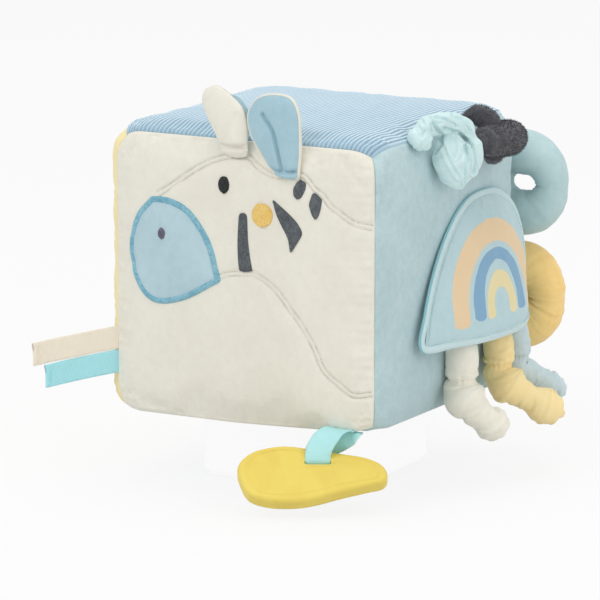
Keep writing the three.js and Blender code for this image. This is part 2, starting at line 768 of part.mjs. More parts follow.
// Knotted toggles: each leaves the seam as a tube, wraps once and ends in a stuffed knob

const knotSeatX = halfX + shoulderRise + clearance;
const knotSeatZ = baseDrop + blockHeight + shoulderRise + clearance;
const knots = [
  {
    name: "mint",
    material: mintVelour,
    placeShare: -0.24,
    rootShares: [[-0.116, -0.12, -0.116], [0, -0.06, 0.03], [0.12, 0.12, 0.12], [0.35, 0.4, 0.16], [0.5, 0.65, 0.08], [0.6, 0.8, -0.12]],
    knobShares: [[0.44, 0.57, -0.02], [0.44, 0.57, -0.45], [0.46, 0.66, -0.71], [0.47, 0.76, -0.94]],
    knobSwellShares: [[0, 0.9], [0.2, 1.8], [0.45, 2.2], [0.7, 1.9], [0.9, 1.1], [1, 0.35]],
  },
  {
    name: "charcoal",
    material: charcoalVelour,
    placeShare: 0.107,
    rootShares: [[-0.116, -0.12, -0.116], [0.02, -0.04, 0.03], [0.17, 0.09, 0.1], [0.37, 0.12, 0.04], [0.52, 0.04, -0.2], [0.44, 0.2, -0.56], [0.31, 0.33, -0.71]],
    knobShares: [[0.54, -0.5, -0.27], [0.54, -0.1, -0.3], [0.5, 0.5, -0.35], [0.47, 1.05, -0.4]],
    knobSwellShares: [[0, 0.5], [0.1, 1.1], [0.35, 1.32], [0.8, 1.32], [0.93, 1], [1, 0.4]],
  },
];
const rootSwellShares = [[0, 0.2], [0.14, 0.85], [0.25, 1], [0.5, 0.95], [0.85, 0.9], [1, 0.45]];

function addKnot({ name, material, placeShare, rootShares, knobShares, knobSwellShares }) {
  const root = addGroup(block, knotSeatX, placeShare * blockDepth, knotSeatZ);
  const inSpan = ([x, y, z]) => new THREE.Vector3(x * knotSpan, y * knotSpan, z * knotSpan);
  const band = solidOf(stuffedTube(rootShares.map(inSpan), knotRadius, rootSwellShares, 10, 8));
  const knob = solidOf(stuffedTube(knobShares.map(inSpan), knotRadius, knobSwellShares, 10, 10));
  addMesh(root, `knot_${name}`, geometryOf(band.add(knob)), material);
}

knots.forEach(addKnot);

// Ribbon tags in the seam of the front and left panels

const tagSteps = 5;
const loopSteps = 12;

function addTag(name, height, length, material) {
  const heading = new THREE.Vector3(-1, -1, 0).normalize();
  const path = [];
  for (let i = 0; i <= tagSteps; i += 1) {
    const share = i / tagSteps;
    const point = heading.clone().multiplyScalar(clearance + share * length);
    point.z = -tagDroop * share * share;
    path.push({ point, across: new THREE.Vector3(0, 0, 1) });
  }
  const tag = addGroup(block, -halfX, -halfY, height);
  addMesh(tag, name, ribbonStrip(path, tagWidth, tagThickness), material);
}

addTag("tag_beige", tagHigh, tagHighLength, beigeRibbon);
addTag("tag_aqua", tagLow, tagLowLength, aquaRibbon);

// Teether: a silicone pebble with a slot, on a ribbon loop sewn in the lower front seam

const teetherShares = [
  [-0.554, -0.075], [-0.532, 0.008], [-0.462, 0.078], [-0.333, 0.12], [-0.231, 0.137], [-0.08, 0.12],
  [0.188, 0.069], [0.343, 0.021], [0.422, -0.033], [0.456, -0.109], [0.43, -0.159], [0.343, -0.187],
  [0.143, -0.251], [-0.03, -0.305], [-0.16, -0.326], [-0.333, -0.314], [-0.462, -0.263], [-0.517, -0.177],
];
const loopSeat = (loopThickness / 2 + clearance) * Math.SQRT1_2;
const loopRoot = new THREE.Vector3(loopPlace, -halfY - loopSeat, baseDrop - loopSeat);

// The slot's middle is the origin of the teether's own frame, which hangs below the loop's root.
const slotPlace = loopRoot.clone().add(new THREE.Vector3(-loopSide, -loopForward, -loopDrop));
const teetherHeading = addGroup(block, slotPlace.x, slotPlace.y, slotPlace.z);
teetherHeading.rotation.z = THREE.MathUtils.degToRad(teetherYaw);
const teetherLean = addGroup(teetherHeading, 0, 0, 0);
teetherLean.rotation.x = THREE.MathUtils.degToRad(90 - teetherSwing);

function teetherGeometry() {
  const shape = new THREE.Shape(smoothOutline(teetherShares, teetherWidth, 30));
  const geometry = new THREE.ExtrudeGeometry(shape, {
    depth: teetherThickness - 2 * teetherCorner,
    bevelThickness: teetherCorner,
    bevelSize: teetherCorner,
    bevelOffset: -teetherCorner,
    bevelSegments: 2,
  });
  geometry.translate(0, 0, teetherCorner - teetherThickness / 2);
  const slotEnd = (slotWidth - slotHeight) / 2;
  const slot = new THREE.Shape();
  slot.absarc(slotEnd, 0, slotHeight / 2, -Math.PI / 2, Math.PI / 2);
  slot.absarc(-slotEnd, 0, slotHeight / 2, Math.PI / 2, (3 * Math.PI) / 2);
  const cut = new THREE.ExtrudeGeometry(slot, {
    depth: 2 * teetherThickness,
    bevelEnabled: false,
    curveSegments: 5,
  });
  cut.translate(0, 0, -teetherThickness);
  return geometryOf(solidOf(geometry).subtract(solidOf(cut)));
}

addMesh(teetherLean, "teether", teetherGeometry(), yellowSilicone);

// The loop's ribbon comes down in front of the teether, turns round the bar over the slot and
// goes up again behind it. Its turn is an arc round the middle of the bar.
function loopPath() {
  const lean = new THREE.Euler(teetherLean.rotation.x, 0, teetherHeading.rotation.z, "ZYX");
  const across = new THREE.Vector3(1, 0, 0).applyEuler(lean);
  const up = new THREE.Vector3(0, 1, 0).applyEuler(lean);
  const out = new THREE.Vector3(0, 0, 1).applyEuler(lean);
  const bar = slotPlace.clone().addScaledVector(up, (slotHeight + teetherBar) / 2);
  const barReach = Math.hypot(teetherThickness / 2, teetherBar / 2);
  const turnRadius = barReach + clearance + loopThickness / 2;
  const toRoot = loopRoot.clone().sub(bar);
  const rootUp = toRoot.dot(up);
  const rootOut = toRoot.dot(out);
  const rootTurn = Math.atan2(rootUp, rootOut);
  const tangentTurn = Math.acos(turnRadius / Math.hypot(rootUp, rootOut));
  const firstTurn = rootTurn - tangentTurn;
  const lastTurn = rootTurn + tangentTurn - 2 * Math.PI;
  const atSeam = new THREE.Vector3(1, 0, 0);
  const rootShift = new THREE.Vector3(0, -1, 1).normalize().multiplyScalar((loopThickness + clearance) / 2);
  const arc = [];
  for (let i = 0; i <= loopSteps; i += 1) {
    const turn = firstTurn + ((lastTurn - firstTurn) * i) / loopSteps;
    const point = bar.clone().addScaledVector(out, Math.cos(turn) * turnRadius);
    arc.push({ point: point.addScaledVector(up, Math.sin(turn) * turnRadius), across });
  }
  const halfWay = (end, start) => ({
    point: end.point.clone().lerp(start.point, 0.5),
    across: end.across.clone().lerp(start.across, 0.5),
  });
  const first = { point: loopRoot.clone().add(rootShift), across: atSeam };
  const last = { point: loopRoot.clone().sub(rootShift), across: atSeam };
  return [first, halfWay(first, arc[0]), ...arc, halfWay(last, arc[loopSteps]), last];
}

addMesh(block, "teether_loop", ribbonStrip(loopPath(), loopWidth, loopThickness), aquaRibbon);

export default block;
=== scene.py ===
"""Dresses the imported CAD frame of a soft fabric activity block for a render.

Every length is in metres on the frame's own axes: the origin is the middle of the flat base,
+Z is up, the zebra looks along -Y and the lift-up flap hangs on +X. Sizes that repeat the CAD
source are written in millimetres and turned into metres by MM.
"""

import logging
import math
from dataclasses import dataclass, field
from enum import Enum
from functools import partial
from typing import Callable, Iterable, Sequence

import bmesh
import bpy
import numpy as np
from mathutils import Matrix, Vector


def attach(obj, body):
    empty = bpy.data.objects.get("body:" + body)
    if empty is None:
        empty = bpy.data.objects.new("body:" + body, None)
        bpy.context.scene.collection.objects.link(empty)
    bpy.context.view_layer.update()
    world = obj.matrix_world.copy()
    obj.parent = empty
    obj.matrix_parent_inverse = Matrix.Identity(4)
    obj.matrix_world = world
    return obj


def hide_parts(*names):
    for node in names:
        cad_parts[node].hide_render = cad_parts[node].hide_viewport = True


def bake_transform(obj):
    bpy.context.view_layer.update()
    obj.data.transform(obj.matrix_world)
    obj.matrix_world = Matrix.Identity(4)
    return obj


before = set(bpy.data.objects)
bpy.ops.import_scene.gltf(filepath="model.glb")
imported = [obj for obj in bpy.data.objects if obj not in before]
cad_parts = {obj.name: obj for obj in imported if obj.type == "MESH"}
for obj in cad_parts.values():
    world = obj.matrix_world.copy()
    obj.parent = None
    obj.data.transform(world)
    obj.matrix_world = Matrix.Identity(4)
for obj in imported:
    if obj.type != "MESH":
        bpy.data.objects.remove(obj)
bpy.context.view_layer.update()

LOG = logging.getLogger("fabric_block")
MM = 0.001
HALF = 75 * MM
HALF_TALL = 72.5 * MM
SEAM_Z = 3.5 * MM
MIDDLE_Z = SEAM_Z + HALF_TALL
CLEARANCE = 0.3 * MM
RIB_PITCH = 2.45 * MM
WHITE = (1.0, 1.0, 1.0, 1.0)

Points = np.ndarray
Faces = list[tuple[int, ...]]
Piece = bpy.types.Object
Material = bpy.types.Material
Node = bpy.types.Node
Socket = bpy.types.NodeSocket


# Small numeric helpers


def linear(code: str) -> tuple[float, float, float, float]:
    """Turns an sRGB hex code into the linear colour that a shader socket takes.

    Args:
        code: Six hex digits.

    Returns:
        Red, green, blue and an alpha of 1.
    """
    parts = [int(code[i : i + 2], 16) / 255 for i in (0, 2, 4)]
    curved = [p / 12.92 if p <= 0.04045 else ((p + 0.055) / 1.055) ** 2.4 for p in parts]
    return curved[0], curved[1], curved[2], 1.0


def unit(vectors: Points) -> Points:
    """Scales each vector of an array to a length of 1."""
    return vectors / np.maximum(np.linalg.norm(vectors, axis=-1, keepdims=True), 1e-12)


def bell(at: Points) -> Points:
    """Gives a bell curve: 1 at 0 and next to nothing past 2."""
    return np.exp(-(at**2))


def eased(share: Points) -> Points:
    """Eases a share from 0 to 1 at both ends."""
    return share * share * (3 - 2 * share)


def swing(turn: Points, middle: float) -> Points:
    """Gives the signed angle from a middle to each turn."""
    return np.arctan2(np.sin(turn - middle), np.cos(turn - middle))


def round_turns(count: int) -> Points:
    """Gives evenly spaced turns round a circle, without the last one."""
    return np.linspace(0, 2 * np.pi, count + 1)[:-1]


def read_table(table: Sequence[tuple[float, float]], shares: Points) -> Points:
    """Reads a table of (share, value) rows, eased between the rows.

    Args:
        table: Rows with rising shares.
        shares: Where to read it.

    Returns:
        One value for each share.
    """
    at, values = np.array(table, float).T
    index = np.clip(np.searchsorted(at, shares) - 1, 0, len(at) - 2)
    part = np.clip((shares - at[index]) / (at[index + 1] - at[index]), 0, 1)
    return values[index] + (values[index + 1] - values[index]) * part * part * (3 - 2 * part)


def hermite(start: Points, leave: Points, end: Points, arrive: Points, t: Points) -> Points:
    """Runs a cubic curve between two points.

    Args:
        start: The first point.
        leave: The curve's slope there.
        end: The last point.
        arrive: The curve's slope there.
        t: Shares from 0 to 1, as a column.

    Returns:
        One point for each share.
    """
    first, last = 2 * t**3 - 3 * t**2 + 1, 3 * t**2 - 2 * t**3
    return start * first + leave * (t**3 - 2 * t**2 + t) + end * last + arrive * (t**3 - t**2)


def smooth_path(points: Sequence[Sequence[float]], closed: bool = False, per_span: int = 16) -> Points:
    """Runs a centripetal Catmull-Rom curve through points, as the CAD source does.

    Args:
        points: Two or more points of any dimension.
        closed: Whether the last point joins the first.
        per_span: Steps between two given points.

    Returns:
        The curve's points; a closed curve doesn't repeat its first one.
    """
    given = np.array(points, float)
    count = len(given)
    made = []
    for i in range(count if closed else count - 1):
        if closed:
            a, b, c, d = (given[(i + k) % count] for k in (-1, 0, 1, 2))
        else:
            b, c = given[i], given[i + 1]
            a = given[i - 1] if i else 2 * b - c
            d = given[i + 2] if i + 2 < count else 2 * c - b
        before, here, after = (max(np.linalg.norm(q - p) ** 0.5, 1e-9) for p, q in ((a, b), (b, c), (c, d)))
        leave = ((b - a) / before - (c - a) / (before + here) + (c - b) / here) * here
        arrive = ((c - b) / here - (d - b) / (here + after) + (d - c) / after) * here
        made.append(hermite(b, leave, c, arrive, np.arange(per_span)[:, None] / per_span))
    if not closed:
        made.append(given[-1:])
    return np.concatenate(made)


def run_of(path: Points) -> Points:
    """Gives the distance run at each point of an open path."""
    return np.concatenate([[0], np.cumsum(np.linalg.norm(np.diff(path, axis=0), axis=1))])


def path_length(path: Points) -> float:
    """Measures an open path."""
    return float(np.linalg.norm(np.diff(path, axis=0), axis=1).sum())


def evenly(path: Points, count: int, closed: bool = False) -> Points:
    """Spaces points at equal distances along a path.

    Args:
        path: The path's points.
        count: How many points to return.
        closed: Whether the path runs back to its first point.

    Returns:
        The spaced points, without a repeated first one on a closed path.
    """
    line = np.vstack([path, path[:1]]) if closed else path
    at = run_of(line)
    want = np.linspace(0, at[-1], count + 1)[:-1] if closed else np.linspace(0, at[-1], count)
    return np.stack([np.interp(want, at, line[:, k]) for k in range(line.shape[1])], axis=1)


def averaged(loop: Points, own: float = 2.0, rounds: int = 2) -> Points:
    """Rounds a closed row of points off.

    Args:
        loop: The points.
        own: A point's own weight against each neighbour's.
        rounds: How many times.

    Returns:
        The rounded row.
    """
    for _ in range(rounds):
        loop = (np.roll(loop, 1, axis=0) + own * loop + np.roll(loop, -1, axis=0)) / (own + 2)
    return loop


def along_loop(loop: Points) -> Points:
    """Gives the direction at each point of a closed path."""
    return unit(np.roll(loop, -1, axis=0) - np.roll(loop, 1, axis=0))


def left_of(along: Points) -> Points:
    """Gives the flat directions to the left of other ones."""
    return np.stack([-along[:, 1], along[:, 0]], axis=1)


def shrunk(outline: Points, shares: Iterable[float]) -> list[Points]:
    """Draws an outline in towards its middle, once for each share."""
    middle = outline.mean(axis=0)
    return [middle + (outline - middle) * share for share in shares]


def level(ring: Points, height: Points | float) -> Points:
    """Lays a flat ring at a height."""
    return np.column_stack([ring, np.full(len(ring), height)])


def outline_inset(outline: Points, distance: float) -> Points:
    """Moves a closed outline inwards along its own normals."""
    return outline + left_of(along_loop(outline)) * distance


def turned_left(outline: Points) -> Points:
    """Gives a closed outline its points in anticlockwise order."""
    x, y = outline.T
    return outline if (x * np.roll(y, -1) - y * np.roll(x, -1)).sum() > 0 else outline[::-1]


def calmed(directions: Points, rounds: int) -> Points:
    """Evens out the directions along a closed path.

    Args:
        directions: One direction for each point.
        rounds: How many times each is averaged with its neighbours.

    Returns:
        The directions.
    """
    for _ in range(rounds):
        directions = unit(directions + np.roll(directions, 1, axis=0) + np.roll(directions, -1, axis=0))
    return directions


def nearest_distance(points: Points, line: Points, part: int = 40) -> Points:
    """Measures how far points lie from a path, whose own points are dense.

    Args:
        points: The points.
        line: The path.
        part: How many of its points are taken at a time.

    Returns:
        One distance for each point.
    """
    nearest = np.full(len(points), 1.0)
    for start in range(0, len(line), part):
        away = np.linalg.norm(points[:, None] - line[None, start : start + part], axis=2).min(axis=1)
        nearest = np.minimum(nearest, away)
    return nearest


class Ripple:
    """A smooth one-dimensional wobble from -1 to 1, the same on each run."""

    def __init__(self, seed: int, waves: int = 7) -> None:
        """Draws the waves.

        Args:
            seed: Fixes the wobble.
            waves: How many waves add up.
        """
        maker = np.random.default_rng(seed)
        self.pace = 2 * np.pi * (0.35 + 1.3 * maker.random(waves))
        self.phase = 2 * np.pi * maker.random(waves)

    def __call__(self, at: Points) -> Points:
        """Reads the wobble, whose waves are about one unit of at long."""
        waves = np.sin(np.multiply.outer(at, self.pace) + self.phase)
        return waves.sum(axis=-1) / len(self.pace) ** 0.5 / 1.2


# Mesh helpers


def linked(name: str, data: bpy.types.ID) -> Piece:
    """Makes an object of some data in the scene.

    Args:
        name: The object's name.
        data: A mesh, lamp or camera.

    Returns:
        The object.
    """
    made = bpy.data.objects.new(name, data)
    bpy.context.scene.collection.objects.link(made)
    return made


def grid_faces(columns: int, rows: int, wrap: bool = False, ring: bool = False) -> Faces:
    """Lists the quads of a grid whose points run row by row within each column.

    Args:
        columns: Points along the first direction.
        rows: Points along the second direction.
        wrap: Whether the second direction closes on itself.
        ring: Whether the first one does as well.

    Returns:
        Quads that face along first direction x second direction.
    """
    at = lambda i, j: i % columns * rows + j % rows
    last, end = rows if wrap else rows - 1, columns if ring else columns - 1
    return [(at(i, j), at(i + 1, j), at(i + 1, j + 1), at(i, j + 1)) for i in range(end) for j in range(last)]


def fan(tip: int, first: int, count: int, against: bool) -> Faces:
    """Closes a ring of points by triangles to a tip.

    Args:
        tip: The tip's number.
        first: The number of the ring's first point.
        count: How many points the ring has.
        against: Whether the triangles run against the ring.

    Returns:
        The triangles.
    """
    pairs = [(first + j, first + (j + 1) % count) for j in range(count)]
    return [(tip, b, a) if against else (tip, a, b) for a, b in pairs]


def make_piece(
    name: str, points: Points, faces: Iterable[Sequence[int]], finish: Material, uv: Points | None = None
) -> Piece:
    """Makes a smooth mesh object at the origin.

    Args:
        name: The piece's name.
        points: Its vertices, in the frame.
        faces: Its faces.
        finish: Its material.
        uv: Two numbers for each vertex, for a pattern that follows the cloth.

    Returns:
        The new object.
    """
    mesh = bpy.data.meshes.new(name)
    mesh.from_pydata(np.asarray(points, float).reshape(-1, 3).tolist(), [], [tuple(f) for f in faces])
    mesh.materials.append(finish)
    mesh.shade_smooth()
    if uv is not None:
        corners = np.zeros(len(mesh.loops), np.int32)
        mesh.loops.foreach_get("vertex_index", corners)
        layer = mesh.uv_layers.new(name="cloth")
        layer.data.foreach_set("uv", np.asarray(uv, np.float32).reshape(-1, 2)[corners].ravel())
    mesh.update()
    return linked(name, mesh)


def reworked(mesh: bpy.types.Mesh, work_on: Callable[[bmesh.types.BMesh], object]) -> None:
    """Works on a mesh in edit form.

    Args:
        mesh: The mesh.
        work_on: What is done to it.
    """
    work = bmesh.new()
    work.from_mesh(mesh)
    work_on(work)
    work.to_mesh(mesh)
    work.free()


def face_outwards(piece: Piece) -> Piece:
    """Turns a closed mesh's faces outwards."""
    reworked(piece.data, lambda work: bmesh.ops.recalc_face_normals(work, faces=work.faces))
    return piece


def ring_piece(name: str, points: Points, finish: Material, uv: Points | None = None) -> Piece:
    """Makes a piece of a grid of points that closes on itself both ways.

    Args:
        name: The piece's name.
        points: The grid.
        finish: The material.
        uv: The grid's cloth coordinates.

    Returns:
        The piece.
    """
    return face_outwards(make_piece(name, points, grid_faces(*points.shape[:2], True, True), finish, uv))


def read_vectors(rows: bpy.types.bpy_prop_collection, label: str) -> Points:
    """Reads a vector of each vertex or normal as an array.

    Args:
        rows: The mesh's vertices or vertex normals.
        label: The vector's name there.

    Returns:
        One row for each.
    """
    flat = np.zeros(len(rows) * 3, np.float32)
    rows.foreach_get(label, flat)
    return flat.reshape(-1, 3).astype(float)


def skin_of(mesh: bpy.types.Mesh) -> tuple[Points, Points]:
    """Reads a mesh's vertices and their normals."""
    return read_vectors(mesh.vertices, "co"), read_vectors(mesh.vertex_normals, "vector")


def set_points(mesh: bpy.types.Mesh, points: Points) -> None:
    """Writes an array to a mesh's vertices."""
    mesh.vertices.foreach_set("co", points.astype(np.float32).ravel())
    mesh.update()


def evaluated(source: Piece) -> Piece:
    """Gives an object as its modifiers leave it."""
    return source.evaluated_get(bpy.context.evaluated_depsgraph_get())


def baked(name: str, source: Piece, finish: Material) -> Piece:
    """Turns an object with live modifiers into a plain one and removes the source.

    Args:
        name: The new piece's name.
        source: The object with modifiers.
        finish: The piece's material.

    Returns:
        The plain object, at the origin.
    """
    mesh = bpy.data.meshes.new_from_object(evaluated(source))
    mesh.name = name
    mesh.materials.clear()
    mesh.materials.append(finish)
    mesh.polygons.foreach_set("material_index", np.zeros(len(mesh.polygons), np.int32))
    bpy.data.objects.remove(source)
    return linked(name, mesh)


def join(pieces: Sequence[Piece], name: str) -> Piece:
    """Joins pieces of one material into one mesh object at the origin.

    Args:
        pieces: Mesh objects at the origin.
        name: The new piece's name.

    Returns:
        The joined object.
    """
    work = bmesh.new()
    for piece in pieces:
        work.from_mesh(piece.data)
    for face in work.faces:
        face.material_index, face.smooth = 0, True
    mesh = bpy.data.meshes.new(name)
    work.to_mesh(mesh)
    work.free()
    mesh.materials.append(pieces[0].data.materials[0])
    for piece in pieces:
        bpy.data.objects.remove(piece)
    return linked(name, mesh)


def report(piece: Piece) -> None:
    """Logs a finished piece."""
    LOG.info("%s: %d faces", piece.name, len(piece.data.polygons))


def hand_over(piece: Piece, body: str, nodes: Sequence[str] = (), slot: str = "") -> None:
    """Puts a finished piece on its body and logs it.

    Args:
        piece: The piece.
        body: The body that it rides, or nothing for a piece that rides none.
        nodes: The CAD nodes that it replaces.
        slot: The material slot that it stands for; not used.
    """
    if body:
        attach(piece, body)
    if nodes:
        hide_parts(*nodes)
    report(piece)


def inflate(points: Points, faces: Faces, pinned: Sequence[int], cap: float) -> Points:
    """Blows a closed cloth shell up for 20 frames and limits how far its points move.

    Args:
        points: The shell's vertices.
        faces: Its faces, outwards.
        pinned: The vertices that a seam holds in place.
        cap: The furthest that a point may move.

    Returns:
        The moved vertices.
    """
    mesh = bpy.data.meshes.new("cube_shell")
    mesh.from_pydata(points.tolist(), [], [tuple(f) for f in faces])
    shell = linked("cube_shell", mesh)
    cloth = shell.modifiers.new("pressure", "CLOTH")
    settings = cloth.settings
    settings.quality = 6
    settings.mass = 0.15
    settings.bending_stiffness = 0.4
    settings.use_pressure = True
    settings.uniform_pressure_force = 4.0
    settings.shrink_min = settings.shrink_max = -0.012
    settings.effector_weights.gravity = 0.0
    cloth.collision_settings.use_collision = False
    cloth.collision_settings.use_self_collision = False
    shell.vertex_groups.new(name="seam").add([int(i) for i in pinned], 1.0, "REPLACE")
    settings.vertex_group_mass = "seam"
    cloth.point_cache.frame_start, cloth.point_cache.frame_end = 1, 20
    scene = bpy.context.scene
    for number in range(1, 21):
        scene.frame_set(number)
    moved = read_vectors(evaluated(shell).data.vertices, "co") - points
    scene.frame_set(1)
    bpy.data.objects.remove(shell)
    bpy.data.meshes.remove(mesh)
    reach = np.linalg.norm(moved, axis=1, keepdims=True)
    return points + moved / np.maximum(reach, 1e-12) * cap * np.tanh(reach / cap)


# Shader nodes and finishes


class NodeBench:
    """Adds and wires nodes in one tree."""

    def __init__(self, tree: bpy.types.NodeTree) -> None:
        """Keeps the tree that the nodes go into."""
        self.tree = tree

    def fill(self, node: Node, inputs: dict) -> Node:
        """Fills a node's inputs.

        Args:
            node: The node.
            inputs: Socket name or number to a value, or to a socket that feeds it.

        Returns:
            The same node.
        """
        for key, value in inputs.items():
            if isinstance(value, Socket):
                self.tree.links.new(value, node.inputs[key])
            else:
                node.inputs[key].default_value = value
        return node

    def node(self, kind: str, inputs: dict | None = None, **settings: object) -> Node:
        """Adds a node, sets its options and fills its inputs.

        Args:
            kind: The node's type.
            inputs: As for fill.
            settings: The node's own options.

        Returns:
            The node.
        """
        made = self.tree.nodes.new(kind)
        for key, value in settings.items():
            setattr(made, key, value)
        return self.fill(made, inputs or {})

    def math(self, operation: str, *values: object) -> Socket:
        """Adds a Math node and returns its result."""
        return self.node("ShaderNodeMath", dict(enumerate(values)), operation=operation).outputs[0]

    def vector(self, operation: str, *values: object) -> Node:
        """Adds a Vector Math node and returns it."""
        return self.node("ShaderNodeVectorMath", dict(enumerate(values)), operation=operation)

    def blend(self, share: object, first: object, second: object) -> Socket:
        """Mixes two colours, each a hex code or a socket, by a share."""
        first, second = (linear(tone) if isinstance(tone, str) else tone for tone in (first, second))
        return self.node("ShaderNodeMix", {0: share, 6: first, 7: second}, data_type="RGBA").outputs[2]

    def ramp(self, value: object, low: float, high: float) -> Socket:
        """Maps a value from low..high to 0..1, clamped and smooth."""
        given = {0: value, 1: low, 2: high}
        return self.node("ShaderNodeMapRange", given, interpolation_type="SMOOTHSTEP").outputs[0]

    def noise(self, place: Socket, scale: object, detail: float, distortion: float = 0.0) -> Node:
        """Adds a Noise Texture and returns it."""
        given = {"Vector": place, "Scale": scale, "Detail": detail, "Distortion": distortion}
        return self.node("ShaderNodeTexNoise", given)

    def bump(self, height: Socket, strength: float, distance: float) -> Socket:
        """Adds a Bump node and returns its normal."""
        given = {"Height": height, "Strength": strength, "Distance": distance}
        return self.node("ShaderNodeBump", given).outputs[0]

    def group(self, tree: bpy.types.NodeTree, inputs: dict | None = None) -> Node:
        """Places a shared effect with its own values."""
        return self.node("ShaderNodeGroup", inputs, node_tree=tree)

    def object_place(self) -> Socket:
        """Gives the Object coordinates."""
        return self.node("ShaderNodeTexCoord").outputs["Object"]

    def cloth_place(self) -> Socket:
        """Gives the cloth's own UV map, in metres."""
        return self.node("ShaderNodeUVMap", uv_map="cloth").outputs[0]

    def direct(self) -> Socket:
        """Tells the rays that show the backdrop from those that light the cube.

        Returns:
            One for camera, glossy and transmission rays, else zero.
        """
        path = self.node("ShaderNodeLightPath").outputs
        seen = self.math("MAXIMUM", path["Is Camera Ray"], path["Is Glossy Ray"])
        return self.math("MAXIMUM", seen, path["Is Transmission Ray"])


def new_group(name: str, inputs: dict[str, float], outputs: Sequence[str]) -> tuple[NodeBench, Node, Node]:
    """Starts a shader node group of float sockets.

    Args:
        name: The group's name.
        inputs: Input names and their usual values.
        outputs: Output names.

    Returns:
        The bench, the group's input node and its output node.
    """
    tree = bpy.data.node_groups.new(name, "ShaderNodeTree")
    for label, value in inputs.items():
        tree.interface.new_socket(label, in_out="INPUT", socket_type="NodeSocketFloat").default_value = value
    for label in outputs:
        tree.interface.new_socket(label, in_out="OUTPUT", socket_type="NodeSocketFloat")
    bench = NodeBench(tree)
    return bench, bench.node("NodeGroupInput"), bench.node("NodeGroupOutput")


